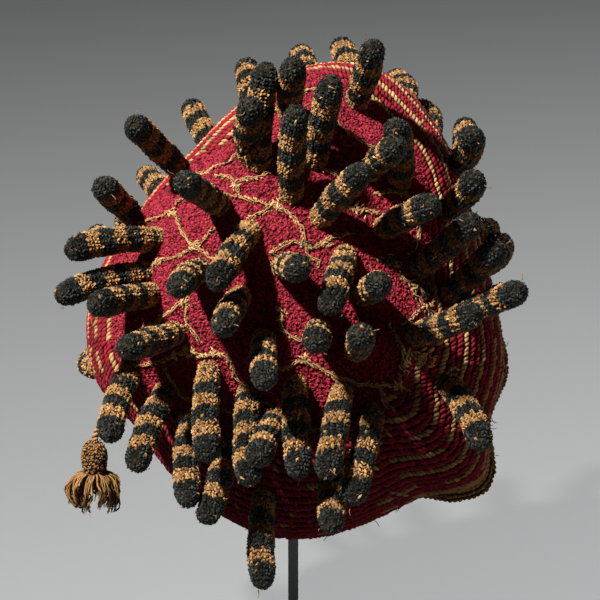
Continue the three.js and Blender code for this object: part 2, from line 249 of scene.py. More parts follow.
def noise(tree, place, scale, detail=2.0, rough=0.5):
    inputs = {"Vector": place, "Scale": scale, "Detail": detail, "Roughness": rough}
    return addNode(tree, "TexNoise", inputs).outputs["Fac"]


def addShare(tree, value, share, rest):
    # value times share, and the rest on top
    return addNode(tree, "Math", {0: value, 1: share, 2: rest}, operation="MULTIPLY_ADD").outputs[0]


def ramp(tree, value, low, dark, high, light):
    node = addNode(tree, "ValToRGB", {"Fac": value})
    for element, position, colour in zip(node.color_ramp.elements, (low, high), (dark, light)):
        element.position = position
        element.color = (*colour, 1)
    return node.outputs["Color"]


def bump(tree, height, strength, millimetres):
    inputs = {"Strength": strength, "Distance": millimetres / 1000, "Height": height}
    return addNode(tree, "Bump", inputs).outputs["Normal"]


def paintShadeInHollows(tree, colour, reach=0.0022, depth=1.6):
    # painted shade: the colour goes darker in the hollows between stitches, where light is blocked
    hollows = addNode(tree, "AmbientOcclusion", {"Distance": reach}, samples=4)
    deeper = addNode(tree, "Math", {0: hollows.outputs["AO"], 1: depth}, operation="POWER")
    darker = addNode(tree, "VectorMath", {0: colour, "Scale": deeper.outputs[0]}, operation="SCALE")
    return darker.outputs[0]


def yarn(name, dark, light, grain, bumpHeight, rough, sheen=0.0):
    # spun fibre: each stitch has its own tone, with fine fibres over it
    material, tree, shader = newMaterial(name)
    place = objectPlace(tree)
    fibres = noise(tree, place, grain, 4.0, 0.65)
    tone = addNode(tree, "Math", {0: fibres, 1: 0.3}, operation="MULTIPLY").outputs[0]
    tone = addShare(tree, noise(tree, place, 45.0), 0.45, tone)
    tone = addShare(tree, ownShade(tree), 0.5, tone)
    # painted shade in the hollows between stitches
    colour = paintShadeInHollows(tree, ramp(tree, tone, 0.18, dark, 0.88, light))
    feed(shader, {"Base Color": colour, "Normal": bump(tree, fibres, 0.8, bumpHeight), "Roughness": rough,
                  "Sheen Weight": sheen, "Sheen Roughness": 0.5, "Specular IOR Level": 0.25})
    return material


def loopedPile(name, dark, light, loopsPerMetre, loopHeight):
    # short loops packed side by side, with painted shade: bright at their tops, dark in the gaps between
    # them
    material, tree, shader = newMaterial(name)
    place = objectPlace(tree)
    loops = addNode(tree, "TexVoronoi", {"Vector": place, "Scale": loopsPerMetre})
    fibres = noise(tree, place, loopsPerMetre * 1.7, 3.0)
    tops = {"Value": loops.outputs["Distance"], "From Min": 0.7, "From Max": 0.08}
    tops = addNode(tree, "MapRange", tops).outputs["Result"]
    eachLoop = addNode(tree, "SeparateColor", {"Color": loops.outputs["Color"]}).outputs["Red"]
    # painted shade: the tone falls off from each loop's top into the gaps
    tone = addNode(tree, "Math", {0: tops, 1: 0.55}, operation="MULTIPLY").outputs[0]
    for value, share in ((eachLoop, 0.3), (ownShade(tree), 0.25), (noise(tree, place, 60.0), 0.25)):
        tone = addShare(tree, value, share, tone)
    feed(shader, {"Base Color": ramp(tree, tone, 0.3, dark, 1.0, light), "Roughness": 0.95,
                  "Normal": bump(tree, addShare(tree, fibres, 0.35, tops), 0.9, loopHeight),
                  "Specular IOR Level": 0.15})
    return material


def blackPaint():
    material, tree, shader = newMaterial("satinBlackPaint")
    cloud = noise(tree, objectPlace(tree), 260.0, 3.0)
    gloss = addNode(tree, "MapRange", {"Value": cloud, "To Min": 0.32, "To Max": 0.5})
    feed(shader, {"Base Color": ramp(tree, cloud, 0.0, (0.006, 0.006, 0.007), 1.0, (0.016, 0.016, 0.018)),
                  "Roughness": gloss.outputs["Result"], "Normal": bump(tree, cloud, 0.15, 0.2)})
    return material


redPile = loopedPile("redPile", (0.075, 0.003, 0.008), (0.56, 0.045, 0.075), 900, 0.7)
redYarn = yarn("redYarn", (0.10, 0.002, 0.007), (0.46, 0.011, 0.032), 1300, 0.35, 0.85, 0.03)
tanYarn = yarn("tanYarn", (0.15, 0.066, 0.020), (0.68, 0.37, 0.14), 1500, 0.35, 0.75)
strawYarn = yarn("strawYarn", (0.22, 0.09, 0.026), (0.80, 0.47, 0.20), 1500, 0.35, 0.8)
blackYarn = yarn("blackYarn", (0.0025, 0.003, 0.0025), (0.025, 0.028, 0.021), 1700, 0.35, 0.5)
# painted shade: the stuffing seen between the stitches is near-black
shadedCoreFill = yarn("shadedCoreFill", (0.012, 0.008, 0.004), (0.06, 0.035, 0.016), 900, 0.3, 0.95)
# painted shade: a darker red than the yarn, seen in the gaps between stitches
shadedKnitBack = yarn("shadedKnitBack", (0.05, 0.002, 0.006), (0.16, 0.006, 0.016), 700, 0.5, 0.95)
raffia = yarn("raffia", (0.10, 0.040, 0.010), (0.60, 0.315, 0.10), 1500, 0.25, 0.6)
standBlack = blackPaint()
print("materials made:", len(bpy.data.materials))

# the cap's own shape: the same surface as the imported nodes; a share is 0 at the crown's middle, 1 at the
# widest ring and 2 at the rim, and a bearing counts clockwise from the top in degrees
capShape = {
    "reach": 115.0, "crownRise": 74.0, "napeDepth": 88.0, "wall": 3.4,
    "rimWidth": 9.0, "rimThick": 5.6, "rimGap": 0.6,
    "place": (2.0, -5.0, 205.0), "tilt": 68.0, "turn": -8.0,
    # bearing, reach, seam, nape, rim, flat
    "outline": (
        (0, 1.0, 0.68, 1.0, 0.8, 2.5), (18, 1.05, 0.68, 1.0, 0.8, 2.5),
        (36, 0.96, 0.64, 0.96, 0.82, 2.5), (60, 0.84, 0.58, 0.82, 0.88, 2.4),
        (84, 0.84, 0.52, 0.62, 0.94, 2.3), (106, 0.93, 0.46, 0.44, 0.98, 2.2),
        (120, 0.98, 0.42, 0.33, 0.97, 2.1), (132, 1.1, 0.4, 0.28, 1.0, 2.0),
        (146, 1.0, 0.44, 0.25, 0.95, 2.0), (180, 1.03, 0.56, 0.24, 0.92, 2.0),
        (206, 0.95, 0.58, 0.25, 0.92, 2.0), (228, 0.88, 0.58, 0.3, 0.94, 2.1),
        (246, 0.93, 0.62, 0.4, 0.96, 2.2), (268, 0.89, 0.68, 0.55, 0.98, 2.3),
        (292, 0.78, 0.72, 0.74, 0.94, 2.4), (322, 0.77, 0.6, 0.93, 0.86, 2.5),
        (342, 0.87, 0.52, 1.0, 0.82, 2.5),
    ),
    # bearing, share, depth, spread
    "dents": ((24, 0.62, 0.06, 0.2), (186, 0.5, 0.12, 0.32), (262, 0.6, 0.05, 0.2), (88, 0.6, 0.05, 0.2)),
}

outline = np.array(capShape["outline"], float)
before, after = outline[-1:].copy(), outline[:2].copy()
before[:, 0] -= 360
after[:, 0] += 360
outline = np.concatenate([before, outline, after])
tilt, turn = math.radians(capShape["tilt"]), math.radians(capShape["turn"])
tiltMatrix = np.array([[1, 0, 0],
                       [0, math.cos(tilt), -math.sin(tilt)],
                       [0, math.sin(tilt), math.cos(tilt)]])
turnMatrix = np.array([[math.cos(turn), -math.sin(turn), 0],
                       [math.sin(turn), math.cos(turn), 0],
                       [0, 0, 1]])
capMatrix = turnMatrix @ tiltMatrix


def placed(points):
    return np.asarray(points) @ capMatrix.T + np.array(capShape["place"])


def turned(vectors):
    return np.asarray(vectors) @ capMatrix.T


def outlineAt(bearing):
    at, values = outline[:, 0], outline[:, 1:]
    b = np.mod(bearing, 360.0)
    k = np.clip(np.searchsorted(at, b, side="right"), 2, len(at) - 2)
    gap = (at[k] - at[k - 1])[..., None]
    p = ((b - at[k - 1]) / (at[k] - at[k - 1]))[..., None]
    startSlope = (values[k] - values[k - 2]) / (at[k] - at[k - 2])[..., None] * gap
    endSlope = (values[k + 1] - values[k - 1]) / (at[k + 1] - at[k - 1])[..., None] * gap
    return ((2 * p ** 3 - 3 * p ** 2 + 1) * values[k - 1] + (p ** 3 - 2 * p ** 2 + p) * startSlope
            + (3 * p ** 2 - 2 * p ** 3) * values[k] + (p ** 3 - p ** 2) * endSlope)


def plainPoint(bearing, share):
    bearing, share = np.broadcast_arrays(np.asarray(bearing, float), np.asarray(share, float))
    reach, _, nape, rim, flat = np.moveaxis(outlineAt(bearing), -1, 0)
    swing = math.pi / 2 * np.minimum(share, 1)
    back = np.maximum(share - 1, 0)
    radial = np.maximum(np.sin(swing), 0) ** (2 / flat) * (1 - (1 - rim) * back ** 1.5)
    height = np.where(share < 1, capShape["crownRise"] * np.maximum(np.cos(swing), 0) ** (2 / flat),
                      -capShape["napeDepth"] * nape * back)
    across = capShape["reach"] * reach * radial
    angle = np.radians(bearing)
    return np.stack([across * np.sin(angle), across * np.cos(angle), height], axis=-1)


def facePoint(bearing, share):
    point = plainPoint(bearing, share)
    inward = -unit(point)
    for dentBearing, dentShare, depth, spread in capShape["dents"]:
        spot = plainPoint(dentBearing, dentShare)
        away = np.linalg.norm(point - spot, axis=-1, keepdims=True) / (spread * capShape["reach"])
        point = point + inward * depth * capShape["reach"] * np.exp(-away ** 2)
    return point


def faceNormal(bearing, share):
    s = np.clip(share, 0.04, 1.98)
    along = facePoint(bearing, s + 0.02) - facePoint(bearing, s - 0.02)
    across = facePoint(np.asarray(bearing) + 2.0, s) - facePoint(np.asarray(bearing) - 2.0, s)
    return unit(np.cross(across, along))


def wallPoint(bearing, share, out=0.0):
    return facePoint(bearing, share) + faceNormal(bearing, share) * np.asarray(out)[..., None]


aroundCount = 720
aroundBearings = np.arange(aroundCount) * 360 / aroundCount
fineShares = np.linspace(0, 2, 401)
fineFace = facePoint(aroundBearings[:, None], fineShares[None, :])
wallLengths = np.array([travelledAlong(line) for line in fineFace])
widestLength = wallLengths[:, 200]
rimLength = wallLengths[:, -1]
seamShare = outlineAt(aroundBearings)[:, 1]


def shareAtLength(length):
    # the share at a length down the wall, for every bearing of aroundBearings
    return np.array([np.interp(length[i], wallLengths[i], fineShares) for i in range(aroundCount)])


def nearestBearing(bearing):
    # which of aroundBearings is nearest
    return np.round(bearing * aroundCount / 360).astype(int) % aroundCount


def evenBearings(face, step, row):
    # evenly spaced bearings round a closed row of points, every other row half a step on
    travelled = travelledAlong(np.concatenate([face, face[:1]]))
    count = int(travelled[-1] / step)
    stops = (np.arange(count) + 0.5 * (row % 2)) * travelled[-1] / count
    return np.interp(stops, travelled, np.append(aroundBearings, 360.0))


def aheadAt(bearing, share):
    # the way round the cap
    return unit(facePoint(bearing + 1.5, share) - facePoint(bearing - 1.5, share))


# the cap's outer face as a tree, so that stitches know how far above it they are
faceRows = facePoint(aroundBearings[::4, None], fineShares[None, 4::6])
faceTree = BVHTree.FromPolygons([tuple(p) for p in faceRows.reshape(-1, 3)],
                                gridQuads(*faceRows.shape[:2], closeColumns=False).tolist())


def aboveFace(points):
    # signed height over the outer face, and the outward direction there
    heights, outward = np.zeros(len(points)), np.zeros((len(points), 3))
    for i, p in enumerate(points):
        spot, normal, _, _ = faceTree.find_nearest(Vector(p))
        direction = np.array(normal)
        if np.dot(direction, np.array(spot) - np.array((0, 0, -20.0))) < 0:
            direction = -direction
        heights[i] = np.dot(p - np.array(spot), direction)
        outward[i] = direction
    return heights, outward


# painted shade: the knitting under the stitches is a darker red than the yarn, for the gaps between
# stitches
ground = {"deep": 0.9, "ripple": 0.15, "shade": 0.4}  # the knitting under the stitches


def shellPiece(name, fromShare, toShare, rows, around, ribHeight):
    # a stretch of the wall as a closed shell; ribs stand on its inner side
    bearings = np.arange(around) * 360 / around
    start, end = fromShare(bearings), toShare(bearings)
    shares = start[:, None] + (end - start)[:, None] * np.linspace(0, 1, rows + 1)[None]
    face = wallPoint(bearings[:, None], shares, np.full(shares.shape, -ground["deep"]))
    lengths = np.array([np.interp(shares[i], fineShares, wallLengths[int(i * aroundCount / around)])
                        for i in range(around)])
    phase = lengths / ribs["pitch"] * 2 * math.pi
    stitch = bearings[:, None] * math.radians(100) + lengths * 0.7
    rib = ribHeight * (np.abs(np.sin(phase / 2)) - 0.2)
    inner = -capShape["wall"] + rib + ground["ripple"] * np.sin(stitch)
    back = wallPoint(bearings[:, None], shares, inner)
    points = np.concatenate([face, back[:, ::-1]], axis=1)
    closesAtTop = bool(np.all(start <= 0.001))
    if closesAtTop:
        # the rings at the crown's middle close on one point each
        points[:, 0] = points[:, 0].mean(axis=0)
        points[:, -1] = points[:, -1].mean(axis=0)
    quads = gridQuads(*points.shape[:2], closeColumns=not closesAtTop)
    piece = newMesh(name, placed(points.reshape(-1, 3)), [quads], [shadedKnitBack], None, ground["shade"])
    if closesAtTop:
        weld = piece.modifiers.new("weld", "WELD")
        weld.merge_threshold = 0.00001
    return piece


def seamAt(bearings):
    return outlineAt(bearings)[:, 1]


# the crown: a red looped pile over a knitted ground
crownPile = {
    "loops": 30000, "radius": 0.85, "tall": 0.9, "uneven": 0.4, "sunk": 0.2, "tones": (0.35, 1.15),
    "paintedGapShade": 0.15, "points": 168000, "edge": 720, "deep": 1.2, "underRings": 7, "ribHeight": 0.7,
}
goldenAngle = 137.50776


def spreadOut(count, chance, loose):
    # points at an even spacing over the crown, as bearings and shares
    seedShares = np.linspace(0, 0.86, 161)
    rings = facePoint(np.arange(0, 360, 6)[:, None], seedShares[None])
    radius = np.linalg.norm(rings[..., :2], axis=2).mean(axis=0)
    step = np.linalg.norm(np.diff(rings, axis=1), axis=2).mean(axis=0)
    area = np.concatenate([[0], np.cumsum((radius[1:] + radius[:-1]) / 2 * step)])
    share = np.interp((np.arange(count) + 0.5) / count * area[-1], area, seedShares)
    bearing = np.mod(np.arange(count) * goldenAngle, 360)
    bearing += loose * chance.uniform(-60, 60, count) / np.maximum(share, 0.05) / capShape["reach"]
    share += loose * chance.uniform(-1, 1, count) / capShape["reach"]
    return bearing, np.abs(share)


def makeCrown():
    knitted = shellPiece("crown_ground", lambda b: 0 * b, seamAt, 40, 144, crownPile["ribHeight"])
    finishPiece(knitted, "crown_wool", "crown_panel")
    chance = randomFor("pile")
    tops = facePoint(*spreadOut(crownPile["loops"], chance, 0.35))
    heights = crownPile["tall"] * (1 + crownPile["uneven"] * chance.normal(size=len(tops)))
    tones = chance.uniform(*crownPile["tones"], len(tops))
    tree = KDTree(len(tops))
    for i, top in enumerate(tops):
        tree.insert(top, i)
    tree.balance()

    # its face: close points joined in the plan, with the seam as their edge
    bearing, share = spreadOut(crownPile["points"], chance, 0.12)
    keep = share < seamAt(bearing) - 0.002
    edgeCount = crownPile["edge"]
    edgeBearing = np.arange(edgeCount) * 360 / edgeCount
    edgeShare = seamAt(edgeBearing) + 0.006
    bearing = np.concatenate([edgeBearing, bearing[keep]])
    share = np.concatenate([edgeShare, share[keep]])
    plan = np.stack([share * np.sin(np.radians(bearing)), share * np.cos(np.radians(bearing))], axis=1)
    edge = [(i, (i + 1) % edgeCount) for i in range(edgeCount)]
    joined = delaunay_2d_cdt([Vector(p) for p in plan], edge, [], 1, 1e-7)
    order = np.array([origins[0] for origins in joined[3]])
    tris = order[np.array(joined[2])]
    face = facePoint(bearing, share)
    raised, tone = np.zeros(len(face)), np.zeros(len(face))
    for i, point in enumerate(face):
        _, nearest, distance = tree.find(point)
        bulge = max(1 - (distance / crownPile["radius"]) ** 2, 0)
        raised[i] = heights[nearest] * math.sqrt(bulge)
        # painted shade: points between the loops are darker than the loops' tops
        tone[i] = tones[nearest] * (crownPile["paintedGapShade"] + (1 - crownPile["paintedGapShade"]) * bulge)
    outer = face + faceNormal(bearing, share) * (raised - crownPile["sunk"])[:, None]

    # its under side, in rings from the seam to the crown's middle
    rings = crownPile["underRings"]
    underSteps = np.linspace(1, 0.1, rings)
    under = wallPoint(edgeBearing[None], edgeShare[None] * underSteps[:, None],
                      np.full((rings, edgeCount), -crownPile["deep"]))
    middle = wallPoint(0.0, 0.0, np.array(-crownPile["deep"]))[None]
    points = np.concatenate([outer, under.reshape(-1, 3), middle])
    quads = gridQuads(rings + 1, edgeCount, closeRows=False)
    quads = np.where(quads < edgeCount, quads, quads - edgeCount + len(outer))
    i = np.arange(edgeCount)
    last = len(points) - 1 - edgeCount
    caps = np.stack([last + i, last + (i + 1) % edgeCount, np.full(edgeCount, len(points) - 1)], axis=1)
    shade = np.concatenate([tone, np.full(len(points) - len(outer), 0.2)])
    faces = [np.concatenate([tris, caps]), quads]
    pile = newMesh("crown_pile", placed(points), faces, [redPile], None, shade, False)
    finishPiece(pile, "crown_wool", "crown_panel")
    print("crown made:", len(tris), "faces of pile")


# the straw lines laid over the crown, by bearing and share; black is the share of black yarn in them
crownNet = {
    "stitchStep": 1.15, "lift": 0.85, "wide": 0.52, "long": 1.2, "thick": 0.52, "kinks": 0.4,
    "strands": 2, "strandRadius": 0.24, "strandPoints": 24, "strandLift": 0.6, "strandWander": 0.8,
    "knotStitch": {"wide": 0.55, "long": 1.9, "thick": 0.55}, "knotSpread": 0.42,
    # bearing, share, reach in millimetres, black
    "knots": ((357, 0.155, 3.2, 0.0), (291, 0.275, 3.0, 0.0), (301, 0.47, 2.2, 0.0), (275, 0.43, 3.4, 0.0),
              (271, 0.46, 3.0, 0.0), (278, 0.38, 2.2, 0.0), (256, 0.26, 2.2, 0.0), (230, 0.345, 3.0, 0.0),
              (219, 0.285, 2.6, 0.0), (234, 0.385, 2.4, 0.0), (38, 0.085, 2.4, 0.4), (46, 0.27, 3.0, 0.0),
              (117, 0.42, 3.6, 0.0), (115, 0.47, 3.4, 0.05), (121, 0.42, 2.6, 0.0), (114, 0.51, 3.0, 0.05),
              (89, 0.43, 2.8, 0.6), (91, 0.48, 3.4, 0.75), (97, 0.48, 2.8, 0.3), (76, 0.35, 3.0, 0.85),
              (79, 0.37, 2.0, 0.1), (113, 0.6, 2.6, 0.5), (333, 0.31, 2.0, 0.0), (157, 0.22, 2.4, 0.0),
              (128, 0.41, 2.6, 0.0), (171, 0.1, 2.0, 0.0), (50, 0.46, 2.2, 0.1)),
    # how wide, black, path by bearing and share
    "lines": (
        # about the middle
        (0.9, 0.0, ((357, 0.155), (350, 0.175), (344, 0.2), (338, 0.23), (333, 0.27))),
        (0.9, 0.0, ((333, 0.27), (334, 0.32), (331, 0.37), (326, 0.42))),
        (0.8, 0.1, ((333, 0.32), (339, 0.3), (346, 0.275), (354, 0.26))),
        (0.6, 0.0, ((333, 0.27), (327, 0.31), (321, 0.34))),
        (0.9, 0.0, ((357, 0.155), (5, 0.13), (14, 0.115), (25, 0.1), (38, 0.085))),
        (0.8, 0.1, ((357, 0.155), (345, 0.155), (334, 0.165), (326, 0.175), (318, 0.2))),
        (0.8, 0.1, ((38, 0.085), (22, 0.07), (5, 0.055), (345, 0.05))),
        (1.0, 0.1, ((38, 0.085), (45, 0.1), (50, 0.125), (48, 0.16), (52, 0.19), (54, 0.23), (57, 0.245))),
        (0.6, 0.0, ((42, 0.09), (48, 0.12), (53, 0.14), (54, 0.165))),
        (0.7, 0.2, ((38, 0.085), (48, 0.078), (58, 0.09), (64, 0.11), (72, 0.11))),
        (1.1, 0.0, ((353, 0.16), (357, 0.15), (3, 0.135))),
        # towards the left edge
        (0.9, 0.0, ((301, 0.47), (300, 0.43), (296, 0.37), (292, 0.31), (291, 0.275))),
        (0.7, 0.2, ((301, 0.47), (306, 0.49), (310, 0.46))),
        (0.8, 0.0, ((301, 0.47), (297, 0.52), (293, 0.6), (291, 0.66))),
        (0.7, 0.3, ((291, 0.275), (299, 0.26), (308, 0.25))),
        (0.9, 0.0, ((291, 0.275), (290, 0.23), (288, 0.18), (287, 0.14))),
        (1.1, 0.0, ((291, 0.275), (285, 0.3), (281, 0.32), (278, 0.37), (275, 0.42), (271, 0.47),
                    (268, 0.52))),
        (1.0, 0.0, ((279, 0.4), (274, 0.4), (270, 0.43), (272, 0.47), (276, 0.46))),
        (1.0, 0.0, ((256, 0.26), (253, 0.31), (251, 0.38), (250, 0.44), (249, 0.5))),
        (0.8, 0.0, ((258, 0.24), (254, 0.25), (250, 0.255), (244, 0.27), (237, 0.275), (230, 0.3))),
        (1.2, 0.0, ((234, 0.4), (233, 0.375), (230, 0.345), (225, 0.32), (219, 0.285), (212, 0.27),
                    (207, 0.285), (203, 0.31))),
        (0.9, 0.0, ((240, 0.56), (238, 0.5), (235, 0.44), (234, 0.39))),
        (0.8, 0.0, ((203, 0.31), (196, 0.33), (188, 0.35), (176, 0.38), (166, 0.4))),
        (0.8, 0.0, ((188, 0.36), (196, 0.44), (208, 0.47), (222, 0.5), (235, 0.45))),
        # towards the top edge
        (0.9, 0.1, ((319, 0.53), (323, 0.49), (328, 0.46), (334, 0.43), (341, 0.42), (347, 0.43))),
        (0.8, 0.0, ((10, 0.25), (12, 0.26), (20, 0.26), (26, 0.275), (31, 0.285))),
        (0.8, 0.0, ((347, 0.43), (354, 0.5), (2, 0.56), (8, 0.6))),
        (0.8, 0.2, ((14, 0.45), (20, 0.42), (27, 0.42), (33, 0.45))),
        # towards the right edge
        (1.1, 0.0, ((42, 0.25), (46, 0.27), (48, 0.3), (52, 0.345))),
        (1.0, 0.1, ((44, 0.35), (46, 0.375), (48, 0.42), (50, 0.45), (51, 0.48))),
        (0.8, 0.2, ((41, 0.41), (43.5, 0.43), (46, 0.46))),
        (0.9, 0.3, ((51, 0.48), (58, 0.5), (66, 0.5), (72, 0.46), (76, 0.4))),
        (1.0, 0.8, ((74, 0.3), (76, 0.33), (77, 0.36), (81, 0.37), (84, 0.385))),
        (1.4, 0.5, ((84, 0.385), (88, 0.41), (93, 0.435), (97, 0.46), (99, 0.5), (101, 0.53))),
        (1.1, 0.85, ((87, 0.42), (86, 0.46), (87, 0.5), (94, 0.48))),
        (0.9, 0.1, ((86, 0.51), (91, 0.53), (96, 0.51))),
        (0.8, 0.4, ((106, 0.37), (104, 0.39), (101, 0.41), (98, 0.445))),
        (0.9, 0.4, ((108, 0.33), (112, 0.36), (115, 0.385), (118, 0.41))),
        (1.6, 0.0, ((116, 0.41), (116, 0.44), (115, 0.49), (112, 0.53))),
        (1.0, 0.0, ((119, 0.41), (121, 0.41), (123, 0.43), (124, 0.41))),
        (0.9, 0.0, ((117, 0.47), (119, 0.53), (116, 0.56))),
        (1.0, 0.5, ((107, 0.64), (109, 0.62), (112, 0.6), (115, 0.59), (117, 0.56))),
        # towards the foot
        (0.8, 0.0, ((178, 0.07), (175, 0.075), (165, 0.08), (155, 0.09))),
        (0.8, 0.0, ((172, 0.09), (170, 0.125), (165, 0.15), (159, 0.165), (152, 0.19))),
        (0.9, 0.0, ((176, 0.235), (168, 0.23), (163, 0.22), (157, 0.225), (152, 0.26), (148, 0.29),
                    (144, 0.315), (140, 0.335), (134, 0.36), (128, 0.4), (124, 0.41))),
        (0.8, 0.0, ((129, 0.4), (128, 0.43), (127, 0.47), (125, 0.52))),
        (0.7, 0.0, ((146, 0.31), (146, 0.35), (150, 0.4), (158, 0.44), (170, 0.47))),
        (0.7, 0.0, ((134, 0.37), (136, 0.43), (134, 0.49), (128, 0.55))),
    ),
}


def smoothPath(corners, step):
    # corners in the cap's plan, joined and rounded, then spaced evenly on the face
    bearings, shares = np.array(corners).T
    bearings = np.radians(bearings)
    plan = np.stack([shares * np.sin(bearings), shares * np.cos(bearings)], axis=1)
    at = np.arange(len(corners))
    fine = np.linspace(0, len(corners) - 1, 30 * len(corners))
    line = np.stack([np.interp(fine, at, plan[:, k]) for k in range(2)], axis=1)
    kernel = np.hanning(5)
    kernel /= kernel.sum()
    padded = np.concatenate([np.repeat(line[:1], 2, 0), line, np.repeat(line[-1:], 2, 0)])
    line = np.stack([np.convolve(padded[:, k], kernel, "valid") for k in range(2)], axis=1)
    bearing = np.degrees(np.arctan2(line[:, 0], line[:, 1]))
    length = travelledAlong(facePoint(bearing, np.linalg.norm(line, axis=1)))
    stops = np.arange(0, length[-1], step)
    planX, planY = np.interp(stops, length, line[:, 0]), np.interp(stops, length, line[:, 1])
    return np.degrees(np.arctan2(planX, planY)), np.hypot(planX, planY)


def looseStrand(middle, across, normal, chance):
    # a loose ply that wanders along a line of the net
    count, points = len(middle), crownNet["strandPoints"]
    t = np.linspace(0, 1, points)[:, None]
    at = np.linspace(0, count - 1, points)
    middle, across, normal = (np.stack([np.interp(at, np.arange(count), v[:, k]) for k in range(3)], axis=1)
                              for v in (middle, across, normal))
    wander = np.cumsum(chance.normal(0, 0.6, (points, 1)), axis=0)
    wander = crownNet["strandWander"] * np.sin(wander + chance.uniform(0, 6))
    high = crownNet["lift"] + crownNet["strandLift"] + 0.4 * np.sin(t * chance.uniform(15, 35) + wander)
    return middle + across * wander + normal * high


def makeNet():
    chance = randomFor("net")
    parts, strands = [], []
    for wide, black, path in crownNet["lines"]:
        bearing, share = smoothPath(path, crownNet["stitchStep"])
        keep = share < seamAt(bearing) + 0.05
        bearing, share = bearing[keep], share[keep]
        if len(bearing) < 3:
            continue
        middle, normal = facePoint(bearing, share), faceNormal(bearing, share)
        tangent = unit(np.gradient(middle, axis=0))
        across = np.cross(tangent, normal)
        count = len(middle)
        kinks = np.convolve(chance.normal(0, 1, count + 4), np.ones(5) / 5 ** 0.5, "valid")
        middle = middle + across * kinks[:, None] * crownNet["kinks"]
        if count > 8:
            strands += [looseStrand(middle, across, normal, chance) for _ in range(crownNet["strands"])]
        for strand in (-1, 1):
            side = strand * np.where(np.arange(count) % 2, 1, -1)
            offset = (side * 0.42 * wide + chance.normal(0, 0.3, count))[:, None]
            high = (crownNet["lift"] + 0.35 * side + chance.normal(0, 0.25, count))[:, None]
            slant = chance.normal(0.7, 0.45, count)[:, None] * side[:, None]
            parts.append({
                "middle": middle + across * offset + normal * high,
                "along": tangent + across * slant,
                "out": normal + 0.25 * chance.normal(size=(count, 3)),
                "size": sized(crownNet, chance.uniform(0.65, 1.3, count) * wide ** 0.5),
                "slot": (chance.random(count) < black).astype(int),
                "shade": chance.uniform(0.0, 1.1, count),
            })
    for bearing, share, reach, black in crownNet["knots"]:
        count = int(6 * reach)
        normal = np.repeat(faceNormal(bearing, share)[None], count, 0)
        offset = chance.normal(size=(count, 3)) * reach * crownNet["knotSpread"]
        offset -= normal * np.sum(offset * normal, axis=1, keepdims=True)
        parts.append({
            "middle": facePoint(bearing, share) + offset + normal * chance.uniform(0.8, 2.0, (count, 1)),
            "along": chance.normal(size=(count, 3)),
            "out": normal + 0.3 * chance.normal(size=(count, 3)),
            "size": sized(crownNet["knotStitch"], chance.uniform(0.7, 1.25, count)),
            "slot": (chance.random(count) < black).astype(int),
            "shade": chance.uniform(0.4, 1.1, count),
        })
    stitches = joinParts(parts)
    net = stitchPiece("crown_lines", stitchForm, stitches, [strawYarn, blackYarn], False)
    finishPiece(net, "tan_fibre")
    loose = tubePiece("crown_strands", strands, crownNet["strandRadius"], 4, [strawYarn],
                      chance.uniform(0.3, 1.0, len(strands)))
    finishPiece(loose, "tan_fibre")
    print("crown lines made:", len(stitches["slot"]), "stitches")


# the ribbed wall: rows of slanted stitches that follow the widest ring
ribs = {
    "pitch": 4.2, "step": 2.2, "long": 3.3, "wide": 1.15, "thick": 1.3, "slant": 0.95, "lift": 0.3,
    "uneven": 0.12, "waver": 0.0015, "sideRows": (0, 30), "backRows": (-26, 0), "groundRibs": 0.9,
    "tanEvery": 3, "tanAt": 1, "stray": 0.02, "lipFlare": 1.4, "lipTan": 22.0,
    # bearing, how much of a tan row stays tan there
    "tanShare": ((0, 1.0), (60, 1.0), (100, 0.9), (126, 0.85), (148, 0.6),
                 (168, 0.2), (215, 0.1), (238, 0.5), (262, 0.9), (360, 1.0)),
}


def rowStitches(row, chance):
    # one row round the cap; rows in front of the widest ring die away into the seam
    length = widestLength - (row + 0.5) * ribs["pitch"]
    share = shareAtLength(length)
    live = (share > seamShare + 0.004) & (length < rimLength - capShape["rimWidth"] - capShape["rimGap"])
    bearing = evenBearings(facePoint(aroundBearings, share), ribs["step"], row)
    share = np.interp(bearing, np.append(aroundBearings, 360.0), np.append(share, share[0]))
    keep = live[nearestBearing(bearing)]
    return bearing[keep], share[keep] + chance.normal(0, ribs["waver"], keep.sum())


def makeRibs(name, rows, node):
    chance = randomFor(name)
    tanShare = np.array(ribs["tanShare"])
    uneven = ribs["uneven"]
    parts = []
    for row in range(*rows):
        bearing, share = rowStitches(row, chance)
        count = len(bearing)
        if count < 2:
            continue
        normal, ahead = faceNormal(bearing, share), aheadAt(bearing, share)
        slant = (ribs["slant"] + chance.normal(0, uneven, count))[:, None]
        # the row is tan in runs, and near the rim where the edging turns out
        dyed = np.interp(bearing, tanShare[:, 0], tanShare[:, 1])
        runs = 0.5 + 0.5 * np.sin(bearing * 0.31 + row * 2.1) * np.sin(bearing * 0.12 + row * 0.7)
        index = nearestBearing(bearing)
        toRim = rimLength[index] - widestLength[index] + (row + 0.5) * ribs["pitch"]
        lip = (rimFlare(bearing) > ribs["lipFlare"]) & (toRim < ribs["lipTan"] + rimFlare(bearing))
        tan = (((row % ribs["tanEvery"] == ribs["tanAt"]) & (runs < dyed)) | lip).astype(int)
        parts.append({
            "middle": wallPoint(bearing, share, ribs["lift"] + chance.normal(0, uneven, count)),
            "along": ahead * (1 - 0.25 * slant) + np.cross(ahead, normal) * slant,
            "out": normal + uneven * chance.normal(size=(count, 3)),
            "size": sized(ribs, chance.uniform(0.86, 1.14, count)),
            "slot": np.where(chance.random(count) < ribs["stray"], 1 - tan, tan),
            "shade": chance.uniform(0.1, 1.0, count),
        })
    stitches = joinParts(parts)
    finishPiece(stitchPiece(name, ropeForm, stitches, [redYarn, strawYarn]), "ribbed_wool", node)
    print(name, "made:", len(stitches["slot"]), "stitches")


